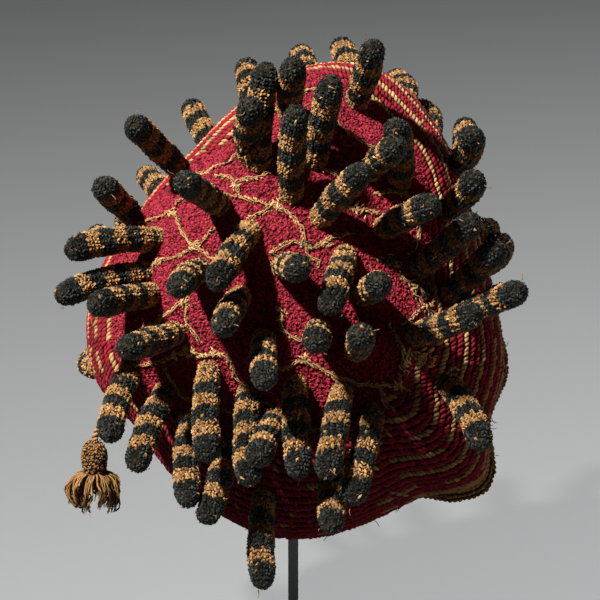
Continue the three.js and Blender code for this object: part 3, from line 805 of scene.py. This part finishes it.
def makeWalls():
    aboveRim = shareAtLength(rimLength - (capShape["rimWidth"] + capShape["rimGap"]))
    side = shellPiece("side_ground", lambda b: seamAt(b) - 0.02, lambda b: 0 * b + 1.0,
                      34, 200, ribs["groundRibs"])
    finishPiece(side, "ribbed_wool", "side_wall")
    back = shellPiece("back_ground", lambda b: 0 * b + 1.004, lambda b: aboveRim[nearestBearing(b)],
                      62, 180, ribs["groundRibs"])
    finishPiece(back, "ribbed_wool", "back_wall")
    makeRibs("side_ribs", ribs["sideRows"], "side_wall")
    makeRibs("back_ribs", ribs["backRows"], "back_wall")


# the tan edging round the rim
rimEdge = {
    "step": 2.4, "long": 2.1, "wide": 1.2, "thick": 1.0, "lean": 0.4, "uneven": 0.3, "deep": 0.9,
    # bearing, half its width in degrees, and how far the edging turns out there
    "flares": ((137, 13, 6.5), (103, 12, 3.5), (262, 16, 2.5), (20, 20, 1.5)),
}


def rimFlare(bearing):
    # the edging turns outwards in places, like a lip
    away = [np.abs((bearing - at + 180) % 360 - 180) / wide for at, wide, _ in rimEdge["flares"]]
    return sum(reach * np.exp(-a ** 2) for a, (_, _, reach) in zip(away, rimEdge["flares"]))


def makeRim():
    chance = randomFor("rim")
    width, thick, wall = capShape["rimWidth"], capShape["rimThick"], capShape["wall"]
    proud = (thick - wall) / 2
    # once round the band's section: distance up from the rim, and how far out of the wall's face
    section = ((width, -0.6), (width - 1.4, proud - 0.8), (width / 2, proud - 0.5), (1.4, proud - 0.8),
               (0.6, -wall / 2), (1.4, 0.8 - wall - proud), (width / 2, 0.5 - wall - proud),
               (width - 1.4, 0.8 - wall - proud), (width, 0.6 - wall))
    sharePerMil = 1 / np.maximum((wallLengths[:, 400] - wallLengths[:, 360]) / 0.2, 1)
    heart = wallPoint(aroundBearings, shareAtLength(rimLength - width / 2), np.full(aroundCount, -wall / 2))
    parts = []
    for row, (up, out) in enumerate(section):
        rowShare = np.clip(2 - up * sharePerMil, 0, 2)
        flare = rimFlare(aroundBearings) * (1 - max(up, 0) / width)
        bearing = evenBearings(wallPoint(aroundBearings, rowShare, out + flare), rimEdge["step"], row) % 360
        count, index = len(bearing), nearestBearing(bearing)
        share = rowShare[index]
        middle = wallPoint(bearing, share, out + flare[index] + chance.normal(0, 0.2, count))
        ahead = aheadAt(bearing, share)
        outward = middle - heart[index]
        outward = unit(outward - ahead * np.sum(outward * ahead, axis=1, keepdims=True))
        lean = rimEdge["lean"] if row % 2 else -rimEdge["lean"]
        lean = (lean + chance.normal(0, rimEdge["uneven"], count))[:, None]
        parts.append({
            "middle": middle, "along": ahead + np.cross(ahead, outward) * lean, "out": outward,
            "size": sized(rimEdge, chance.uniform(0.85, 1.2, count)),
            "slot": np.zeros(count, int), "shade": chance.uniform(0.1, 0.85, count),
        })
    stitches = joinParts(parts)
    finishPiece(stitchPiece("rim_edging", stitchForm, stitches, [tanYarn]), "tan_fibre", "rim_band")

    # the band's ground under its stitches, at a dark tone as painted shade between them
    bearings, step = aroundBearings[::4], sharePerMil[::4]
    high, low = proud - rimEdge["deep"] - 0.4, rimEdge["deep"] + 0.4 - wall - proud
    ring = ((width, -rimEdge["deep"]), (width - 1, high), (1.2, high), (0.5, -wall / 2),
            (1.2, low), (width - 1, low), (width, rimEdge["deep"] - wall))
    loops = np.stack([wallPoint(bearings, np.clip(2 - up * step, 0, 2),
                                out + rimFlare(bearings) * (1 - max(up, 0) / width))
                      for up, out in ring], axis=1)
    quads = gridQuads(*loops.shape[:2])
    band = newMesh("rim_ground", placed(loops.reshape(-1, 3)), [quads], [tanYarn], None, 0.1)
    finishPiece(band, "tan_fibre", "rim_band")
    print("rim made:", len(stitches["shade"]), "stitches")


# the fingers: stuffed tubes crocheted in rounds, black at the tip and banded below
fingers = {
    "length": 54.0, "radius": 6.5, "lift": 0.3, "leg": 1.4, "round": 1.75, "wide": 0.78, "long": 1.55,
    "thick": 0.85, "depth": 0.8, "tip": 12.0, "band": 7.4, "ragged": 0.45, "specks": 0.015, "lumps": 0.4,
    "clear": 0.4, "rooted": -0.6, "coreDepth": 1.25, "coreSides": 12,
    "coreAt": (0.02, 0.15, 0.3, 0.45, 0.6, 0.75, 0.86, 0.93, 0.97),
    # root's bearing and share, the way it leans, how far it leans, share of the length; degrees
    "front": (
        (344, 0.38, 22, 22, 0.9), (348, 0.32, 8, 53, 1), (0, 0.46, 30, 18, 1), (6, 0.18, 10, 40, 1),
        (18, 0.6, 36, 24, 1), (14, 0.28, 20, 40, 1), (46, 0.47, 4, 20, 1), (36, 0.37, 77, 21, 1),
        (32, 0.16, 57, 34, 1),
        (60, 0.35, 78, 32, 1), (62, 0.67, 62, 22, 1), (49, 0.93, 52, 14, 1), (80, 0.47, 58, 40, 1),
        (90, 0.62, 54, 37, 1), (96, 0.65, 77, 38, 1), (108, 0.43, 77, 37, 1), (118, 0.6, 147, 46, 1),
        (96, 0.24, 94, 14, 1), (68, 0.19, 182, 36, 1), (20, 0.02, 117, 20, 1), (136, 0.16, 156, 14, 1),
        (128, 0.26, 75, 9, 1), (190, 0.16, 161, 30, 1), (328, 0.14, 195, 39, 1), (276, 0.21, 184, 17, 1),
        (243, 0.1, 178, 23, 1), (320, 0.3, 286, 11, 1),
        (316, 0.68, 312, 24, 1), (294, 0.84, 321, 10, 1), (288, 0.47, 250, 45, 1), (273, 0.44, 242, 46, 1),
        (263, 0.38, 236, 24, 1), (242, 0.33, 228, 22, 1), (239, 0.6, 180, 41, 1), (226, 0.55, 187, 48, 1),
        (213, 0.56, 170, 54, 1), (217, 0.35, 171, 58, 1), (196, 0.57, 188, 49, 1), (194, 0.35, 171, 59, 1),
        (180, 0.41, 182, 27, 1), (168, 0.29, 170, 60, 1), (148, 0.36, 182, 52, 1), (162, 0.59, 169, 37, 1),
        (142, 0.45, 186, 57, 1), (184, 0.72, 172, 57, 1),
    ),
    "back": (
        (344, 1.25, 340, 132, 1), (0, 1.3, 333, 141, 1), (10, 1.3, 335, 140, 1), (24, 1.3, 332, 150, 1),
        (33, 1.35, 335, 151, 1), (46, 1.35, 2, 138, 1), (76, 1.35, 12, 157, 1), (328, 1.3, 326, 128, 1),
        (306, 1.3, 312, 143, 1), (284, 1.3, 298, 143, 1), (293, 1.45, 300, 148, 1), (250, 1.2, 310, 163, 1),
        (352, 1.7, 350, 135, 1), (14, 1.7, 350, 145, 1), (36, 1.75, 340, 150, 1), (62, 1.6, 40, 168, 1),
        (332, 1.75, 330, 140, 1), (308, 1.7, 310, 150, 1),
    ),
    # along the finger, share of its radius
    "profile": ((0.0, 0.94), (0.06, 0.94), (0.42, 1.03), (0.8, 1.03),
                (0.88, 0.98), (0.94, 0.83), (0.98, 0.55), (1.0, 0.05)),
}


def fingerLine(row):
    at, share, toward, lean, longer = row
    length = fingers["length"] * longer
    root = wallPoint(at, share)
    direction = math.radians(toward)
    end = np.array([math.sin(math.radians(lean)) * math.sin(direction),
                    math.sin(math.radians(lean)) * math.cos(direction), math.cos(math.radians(lean))])
    start = unit(end + (faceNormal(at, share) - end) * fingers["lift"])
    return root, root + start * length / 2, root + end * length, length


def onLine(line, t):
    root, bend, end, _ = line
    t = np.asarray(t, float)[..., None]
    point = (1 - t) ** 2 * root + 2 * t * (1 - t) * bend + t ** 2 * end
    return point, unit(2 * (1 - t) * (bend - root) + 2 * t * (end - bend))


def keepClear(points, others, reach):
    # moves points off the middle lines of the fingers already placed
    for other in others:
        away = points[:, None] - other[None]
        distance = np.linalg.norm(away, axis=2)
        nearest = distance.argmin(axis=1)
        gap = distance[np.arange(len(points)), nearest]
        close = gap < reach
        if close.any():
            push = unit(away[np.arange(len(points)), nearest][close])
            points[close] = other[nearest[close]] + push * reach
    return points


def ringSides(tangent):
    # two directions across each point of a finger, without twist
    side = unit(np.cross(tangent[0], (0.3, 0.5, 0.81)))
    sides = []
    for along in tangent:
        side = unit(side - along * np.dot(side, along))
        sides.append((side, np.cross(along, side)))
    return sides


def makeFinger(name, row, others, stoodFor):
    chance = randomFor(name)
    line = fingerLine(row)
    length, radius, depth, leg = line[3], fingers["radius"], fingers["depth"], fingers["leg"]
    profile = np.array(fingers["profile"])
    fine = np.linspace(0, 1, 200)
    wide = np.maximum(np.interp(fine, profile[:, 0], profile[:, 1]) * radius - depth, 0.05)
    path = np.stack([fine * (length - depth), wide], axis=1)
    travelled = travelledAlong(path)
    rounds = int(round(travelled[-1] / fingers["round"]))
    stops = np.linspace(-0.8, travelled[-1], rounds + 1)
    alongs = np.where(stops < 0, stops, np.interp(stops, travelled, path[:, 0]))
    wides = np.interp(stops, travelled, path[:, 1])
    slope = np.gradient(path[:, 1]) / np.maximum(np.gradient(path[:, 0]), 1e-6)
    slopes = np.interp(stops, travelled, slope)
    centre, tangent = onLine(line, np.clip(alongs / length, 0, 1))
    centre = centre + tangent * np.minimum(alongs, 0)[:, None]
    lumpTurn = chance.uniform(0, 2 * math.pi, 3)
    spin = chance.uniform(0, 2 * math.pi)
    legPairs = int(round(math.pi * (radius - depth) / leg))
    parts = []
    for k, (side, other) in enumerate(ringSides(tangent)):
        # one round of V stitches, two legs each
        thin = wides[k] < 0.85 * (radius - depth)
        count = 2 * max(int(round(math.pi * wides[k] / leg)) if thin else legPairs, 1)
        angle = spin + 0.02 * k + circle(count)
        angle = angle + chance.normal(0, 0.03, count)
        radial = side * np.cos(angle)[:, None] + other * np.sin(angle)[:, None]
        lump = fingers["lumps"] * (np.sin(2 * angle + lumpTurn[0] + 0.9 * k / 3)
                                   + np.sin(angle + lumpTurn[1] - 0.5 * k)) * 0.5
        reach = np.maximum(wides[k] + (lump + chance.normal(0, 0.18, count)) * min(wides[k] / radius, 1), 0)
        nose = unit(radial - tangent[k] * min(max(slopes[k], -30), 30))
        slip = chance.normal(0, 0.2, count)[:, None] * tangent[k]
        around = np.cross(tangent[k], radial)
        lean = (np.where(np.arange(count) % 2, 0.75, -0.75) + chance.normal(0, 0.22, count))[:, None]
        parts.append({
            "middle": centre[k] + radial * reach[:, None] + slip,
            "along": np.cross(nose, around) + around * lean,
            "out": nose + 0.2 * chance.normal(size=(count, 3)),
            "down": np.full(count, length - alongs[k]), "angle": angle,
        })
    stitches = joinParts(parts)
    keep = aboveFace(stitches["middle"])[0] > fingers["rooted"]
    stitches = {key: value[keep] for key, value in stitches.items()}
    stitches["middle"] = keepClear(stitches["middle"], others, radius + fingers["clear"] + 0.4)

    # the bands: black and tan by turns from the tip down, with ragged borders
    down, angle = stitches["down"], stitches["angle"]
    count = len(down)
    wave = np.sin(angle + lumpTurn[2]) * 0.9 + np.sin(angle * 3 + lumpTurn[0]) * 0.5
    fromTip = down + wave + chance.normal(0, fingers["ragged"], count)
    stretch = fingers["band"] * chance.uniform(0.9, 1.12)
    bandOf = np.floor((fromTip - fingers["tip"] * chance.uniform(0.88, 1.1)) / stretch)
    black = ((bandOf < 0) | (bandOf % 2 == 1)) & ((length - down) > 4.5)
    stitches["slot"] = np.where(chance.random(count) < fingers["specks"], ~black, black).astype(int)
    swell = chance.uniform(0.75, 1.3, count)
    long = fingers["long"] * chance.uniform(0.7, 1.25, count)
    stitches["size"] = np.stack([fingers["wide"] * swell, long, fingers["thick"] * swell], axis=1)
    stitches["shade"] = chance.uniform(0.0, 1.0, count)
    piece = stitchPiece(name, yarnForm, stitches, [tanYarn, blackYarn], False)
    finishPiece(piece, "banded_fibre", stoodFor)
    core = makeCore(line, others)
    others.append(onLine(line, np.linspace(0, 0.93, 30))[0])
    return core


def makeCore(line, others):
    # the points of the stuffing behind the stitches
    profile = np.array(fingers["profile"])
    at = np.array(fingers["coreAt"])
    wide = np.interp(at, profile[:, 0], profile[:, 1]) * fingers["radius"] - fingers["coreDepth"]
    centre, tangent = onLine(line, at)
    turns = circle(fingers["coreSides"])[:, None]
    rings = [middle + max(reach, 0.6) * (side * np.cos(turns) + other * np.sin(turns))
             for middle, reach, (side, other) in zip(centre, wide, ringSides(tangent))]
    points = np.concatenate([centre[:1], *rings, centre[-1:] + tangent[-1:] * 0.6])
    height, outward = aboveFace(points)
    low = height < fingers["rooted"]
    points[low] += outward[low] * (fingers["rooted"] - height[low])[:, None]
    return keepClear(points, others, fingers["radius"] - 0.8)


def makeFingers():
    others = []
    cores = [makeFinger(f"finger_{i + 1:02d}", row, others, f"burl_{i + 1:02d}")
             for i, row in enumerate(fingers["front"])]
    cores += [makeFinger(f"back_finger_{i + 1:02d}", row, others, "back_wall")
              for i, row in enumerate(fingers["back"])]

    # the stuffing of all fingers as one piece; its near-black brown is painted shade between the stitches
    each, sides = len(cores[0]), fingers["coreSides"]
    i = np.arange(sides)
    j = (i + 1) % sides
    start = np.stack([np.zeros(sides, int), 1 + j, 1 + i], axis=1)
    end = np.stack([np.full(sides, each - 1), each - 1 - sides + i, each - 1 - sides + j], axis=1)
    groups = [np.concatenate([start, end]), gridQuads(len(fingers["coreAt"]), sides, closeRows=False) + 1]
    filling = newMesh("finger_filling", placed(np.concatenate(cores)),
                      [repeatFaces(group, len(cores), each) for group in groups], [shadedCoreFill], None, 0.3)
    finishPiece(filling, "banded_fibre")
    print("fingers made:", len(cores))


# the tassel at the cap's left edge, hanging straight down
tassel = {
    "bearing": 238.0, "share": 1.05, "out": 17.0, "drop": 7.5, "knobRadius": 6.9, "knobHeight": 17.5,
    "stitch": 1.3, "wide": 0.5, "long": 1.2, "thick": 0.45, "fillingDepth": 1.1, "fillingSides": 36,
    "cordRadius": 0.95, "cordTurns": 24, "plyOut": 0.85,
    "locks": 15, "skirtDrop": 17.5, "skirtReach": 12.5, "strands": 190, "strandRadius": 0.5,
    "stray": 1.3, "curl": 1.5,
    # down the knob, share of its radius
    "knob": ((0.0, 0.3), (0.07, 0.62), (0.22, 0.88), (0.48, 1.0),
             (0.72, 0.96), (0.86, 0.82), (0.93, 0.74), (1.0, 0.7)),
}


def makeTassel():
    chance = randomFor("tassel")
    upward = np.array([0, 0, 1.0])
    start = placed(wallPoint(tassel["bearing"], tassel["share"]))
    bend = start + turned(faceNormal(tassel["bearing"], tassel["share"])) * tassel["out"]
    top = bend - upward * tassel["drop"]
    tall, knobRadius, thick = tassel["knobHeight"], tassel["knobRadius"], tassel["thick"]
    section = np.array(tassel["knob"])

    def knobShare(level):
        return np.interp(level, section[:, 0], section[:, 1])

    # the knob: a close tangle of fibre over a filled bulb
    parts = []
    rounds = int(tall / tassel["stitch"])
    for k in range(rounds + 1):
        level = k / rounds
        wide = knobShare(level) * (knobRadius - thick)
        widening = knobShare(min(level + 0.04, 1)) - knobShare(max(level - 0.04, 0))
        slope = widening * knobRadius / (0.08 * tall)
        count = max(int(round(2 * math.pi * wide / tassel["stitch"])), 4)
        angle = (np.arange(count) + 0.5 * (k % 2)) * 2 * math.pi / count + chance.normal(0, 0.05, count)
        radial = np.stack([np.cos(angle), np.sin(angle), np.zeros(count)], axis=1)
        around = np.stack([-np.sin(angle), np.cos(angle), np.zeros(count)], axis=1)
        reach = wide + chance.normal(0, 0.2, count)
        down = tall * level + chance.normal(0, 0.45, count)
        parts.append({
            "middle": top - upward * down[:, None] + radial * reach[:, None],
            "out": radial + upward * slope + 0.25 * chance.normal(size=(count, 3)),
            "along": (around * chance.normal(0, 1, count)[:, None]
                      + upward * chance.normal(0, 1, count)[:, None]),
            "slot": np.zeros(count, int),
        })
    stitches = joinParts(parts)
    count = len(stitches["slot"])
    stitches["size"] = sized(tassel, chance.uniform(0.8, 1.2, count))
    stitches["shade"] = chance.uniform(0.0, 0.9, count)
    head = stitchPiece("tassel_head", ropeForm, stitches, [raffia], inCap=False)
    finishPiece(head, "tan_fibre", "tassel")
    level, around = np.linspace(0, 1, 24), tassel["fillingSides"]
    angle = circle(around)
    wide = np.maximum(knobShare(level) * knobRadius - tassel["fillingDepth"], 0.4)[:, None]
    height = np.repeat(-tall * level[:, None], around, 1)
    bulb = np.stack([wide * np.cos(angle), wide * np.sin(angle), height], axis=-1).reshape(-1, 3) + top
    last = len(bulb) - around
    ends = [[0, j, j + 1] for j in range(1, around - 1)]
    ends += [[last, last + j + 1, last + j] for j in range(1, around - 1)]
    quads = gridQuads(len(level), around, closeRows=False)[:, ::-1]
    # painted shade: the bulb under the knob's stitches is at the darkest tone
    filling = newMesh("tassel_filling", bulb, [np.array(ends), quads], [raffia], None, 0.05)
    finishPiece(filling, "tan_fibre", "tassel")

    # the cord that it hangs by: two plies
    t = np.linspace(0, 1, 40)[:, None]
    curve = (1 - t) ** 2 * start + 2 * t * (1 - t) * bend + t ** 2 * (top - upward * 2.0)
    tangent = unit(np.gradient(curve, axis=0))
    side = unit(np.cross(tangent, (0.2, 1.0, 0.1)))
    other = np.cross(tangent, side)
    twist = tassel["cordTurns"] * t
    plies = [curve + tassel["plyOut"] * (side * np.cos(twist + half) + other * np.sin(twist + half))
             for half in (0, math.pi)]
    cord = tubePiece("tassel_cord", plies, tassel["cordRadius"], 8, [tanYarn], 0.5, inCap=False)
    finishPiece(cord, "tan_fibre", "tassel")

    # the skirt: strands in locks that swell out from the knob's foot and curl in again at their cut ends
    strands = []
    foot = top - upward * tall
    t = np.linspace(0, 1, 14)[:, None]
    locks = tassel["locks"]
    lockStray = chance.normal(size=(locks, 3)) * tassel["stray"]
    lockTurn = chance.uniform(-0.16, 0.16, locks)
    lockDrop = chance.uniform(0.82, 1.04, locks)
    for k in range(tassel["strands"]):
        lock = k % locks
        turn = 2 * math.pi * lock / locks + lockTurn[lock] + chance.normal(0, 0.1)
        turn -= 0.42 * math.sin(2 * turn)  # the locks draw to two sides
        outward = np.array([math.cos(turn), math.sin(turn), 0])
        fullness = 0.3 + 0.7 * chance.random() ** 0.5
        reach = tassel["skirtReach"] * fullness * (1 + 0.08 * math.cos(2 * turn))
        drop = tassel["skirtDrop"] * lockDrop[lock] * chance.uniform(0.86, 1.05)
        stray = lockStray[lock] + chance.normal(size=3) * 0.45
        first = foot + outward * 3.2 + upward * 1.2
        shoulder = foot + outward * reach * 0.95 + upward * (1.8 * fullness) + stray * 0.4
        belly = foot + outward * reach * 1.2 - upward * (drop * 0.62) + stray
        end = foot + outward * reach * 0.66 - upward * drop + stray * 1.3
        line = ((1 - t) ** 3 * first + 3 * t * (1 - t) ** 2 * shoulder
                + 3 * t ** 2 * (1 - t) * belly + t ** 3 * end)
        curl = chance.normal(size=3) * tassel["curl"]
        strands.append(line + np.sin(t * math.pi * chance.uniform(2.0, 4.5)) * t * curl)
    radii = tassel["strandRadius"] * chance.uniform(0.6, 1.25, len(strands))
    skirt = tubePiece("tassel_skirt", strands, radii, 5, [raffia], chance.uniform(0, 1, len(strands)),
                      inCap=False)
    finishPiece(skirt, "tan_fibre", "tassel")
    print("tassel made:", len(strands), "strands")


# loose fibre ends at the rim and at the fingers' tips
wisps = {"rim": 70, "perTip": 1, "length": 5.0, "radius": 0.2, "tipOut": 5}


def makeWisps():
    chance = randomFor("wisps")
    paths, slots = [], []
    t = np.linspace(0, 1, 6)[:, None]

    def addWisp(root, outward, slot):
        length = wisps["length"] * chance.uniform(0.5, 1.5)
        first = unit(outward + 0.7 * chance.normal(size=3))
        second = unit(outward + 1.2 * chance.normal(size=3))
        paths.append(root + first * length * t + (second - first) * length * t ** 2 * 0.6)
        slots.append(slot)

    for bearing in chance.uniform(0, 360, wisps["rim"]):
        share = chance.choice([1.0, 1.99]) + chance.uniform(-0.05, 0)
        addWisp(wallPoint(bearing, share, np.array(1.0)), faceNormal(bearing, share), chance.integers(0, 2))
    for row in fingers["front"]:
        tip, tangent = onLine(fingerLine(row), 0.95)
        for _ in range(wisps["perTip"]):
            sideways = unit(np.cross(tangent, chance.normal(size=3)))
            addWisp(tip + sideways * wisps["tipOut"], sideways + tangent * 0.5, 1)
    loose = tubePiece("loose_fibres", paths, wisps["radius"], 3, [redYarn, tanYarn], 0.6, slots)
    finishPiece(loose, "tan_fibre")
    print("loose fibres made:", len(paths))


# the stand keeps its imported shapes, with softened edges and satin paint
standFinish = {"edge": 0.6, "segments": 2, "angle": 35.0}


def finishStand():
    for name in ("stand_pad", "stand_rod", "stand_foot"):
        node = nodes[name]
        node.data.materials.clear()
        node.data.materials.append(standBlack)
        bevel = node.modifiers.new("edge", "BEVEL")
        bevel.width = standFinish["edge"] / 1000
        bevel.segments = standFinish["segments"]
        bevel.limit_method = "ANGLE"
        bevel.angle_limit = math.radians(standFinish["angle"])
    print("stand finished")


# floor, light and backdrop
studio = {
    # place, aim, power, size, colour
    "lights": {
        "key": ((-860.0, -770.0, 1560.0), (0, 0, 200.0), 70.0, 90.0, (1.0, 0.97, 0.92)),
        "fill": ((1500.0, -520.0, 20.0), (0, 0, 200.0), 3.8, 700.0, (1.0, 0.86, 0.72)),
        "back": ((400.0, 1650.0, 500.0), (0, 0, 200.0), 9.0, 800.0, (1.0, 1.0, 1.0)),
        "floor_light": ((800.0, -1500.0, 2600.0), (1700.0, -1100.0, 0.0), 880.0, 700.0, (0.97, 1.0, 1.0)),
        "wall_light": ((-1700.0, -500.0, 2500.0), (-4600.0, 0.0, 1500.0), 500.0, 700.0, (0.97, 1.0, 1.0)),
    },
    "floorTone": 0.06, "floorGap": 0.2, "floorReach": 3200.0, "bendRadius": 1400.0, "wallTop": 5000.0,
    "floorSides": 96,
    "worldTone": 0.022, "worldColour": (1.0, 0.95, 0.9, 1),
}


def addLight(name, place, target, power, size, colour):
    data = bpy.data.lights.new(name, "AREA")
    data.energy = power
    data.size = size / 1000
    data.color = colour
    light = bpy.data.objects.new(name, data)
    light.location = Vector(place) / 1000
    aim = Vector(target) / 1000 - light.location
    light.rotation_euler = aim.to_track_quat("-Z", "Y").to_euler()
    scene.collection.objects.link(light)
    return light


def makeFloor():
    # a round floor that sweeps up all about
    material, tree, shader = newMaterial("paleFloor")
    grain = addNode(tree, "TexNoise", {"Scale": 3.0}).outputs["Fac"]
    base = studio["floorTone"]
    tone = addNode(tree, "MapRange", {"Value": grain, "To Min": base * 0.97, "To Max": base * 1.03})
    feed(shader, {"Base Color": tone.outputs["Result"], "Roughness": 0.9})
    flat, bend, around = studio["floorReach"], studio["bendRadius"], studio["floorSides"]
    profile = [(0.5, 0), (1500, 0), (flat, 0)]
    profile += [(flat + bend * math.sin(a), bend - bend * math.cos(a))
                for a in np.linspace(0.12, math.pi / 2, 12)]
    profile.append((flat + bend, studio["wallTop"]))
    points = [(reach * math.cos(a), reach * math.sin(a), z - studio["floorGap"])
              for reach, z in profile for a in circle(around)]
    quads = gridQuads(len(profile), around, closeRows=False)
    floor = newMesh("floor", np.array(points, float), [quads], [material])
    floor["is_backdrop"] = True
    floor.visible_diffuse = False  # it throws no light back on the cap
    return floor


def makeStudio():
    lights = {name: addLight(name, *values) for name, values in studio["lights"].items()}
    world = bpy.data.worlds.new("studio")
    world.use_nodes = True
    feed(world.node_tree.nodes["Background"],
         {"Color": studio["worldColour"], "Strength": studio["worldTone"]})
    scene.world = world
    floor = makeFloor()
    # the floor's own lights leave the cap alone and cast no shadow of it
    lit = bpy.data.collections.new("lit_by_floor_light")
    lit.objects.link(floor)
    for name in ("floor_light", "wall_light"):
        lights[name].light_linking.receiver_collection = lit
        lights[name].light_linking.blocker_collection = lit
    # the lights that stand low leave the floor alone
    unlit = bpy.data.collections.new("not_lit_by_low_lights")
    unlit.objects.link(floor)
    unlit.collection_objects[0].light_linking.link_state = "EXCLUDE"
    for name in ("fill", "back"):
        lights[name].light_linking.receiver_collection = unlit
    print("studio made")


for makePart in (makeCrown, makeNet, makeWalls, makeRim, makeFingers,
                 makeTassel, makeWisps, finishStand, makeStudio):
    makePart()

faceTotal = sum(sum(len(p.vertices) - 2 for p in piece.data.polygons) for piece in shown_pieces())
print("triangles in all:", faceTotal)
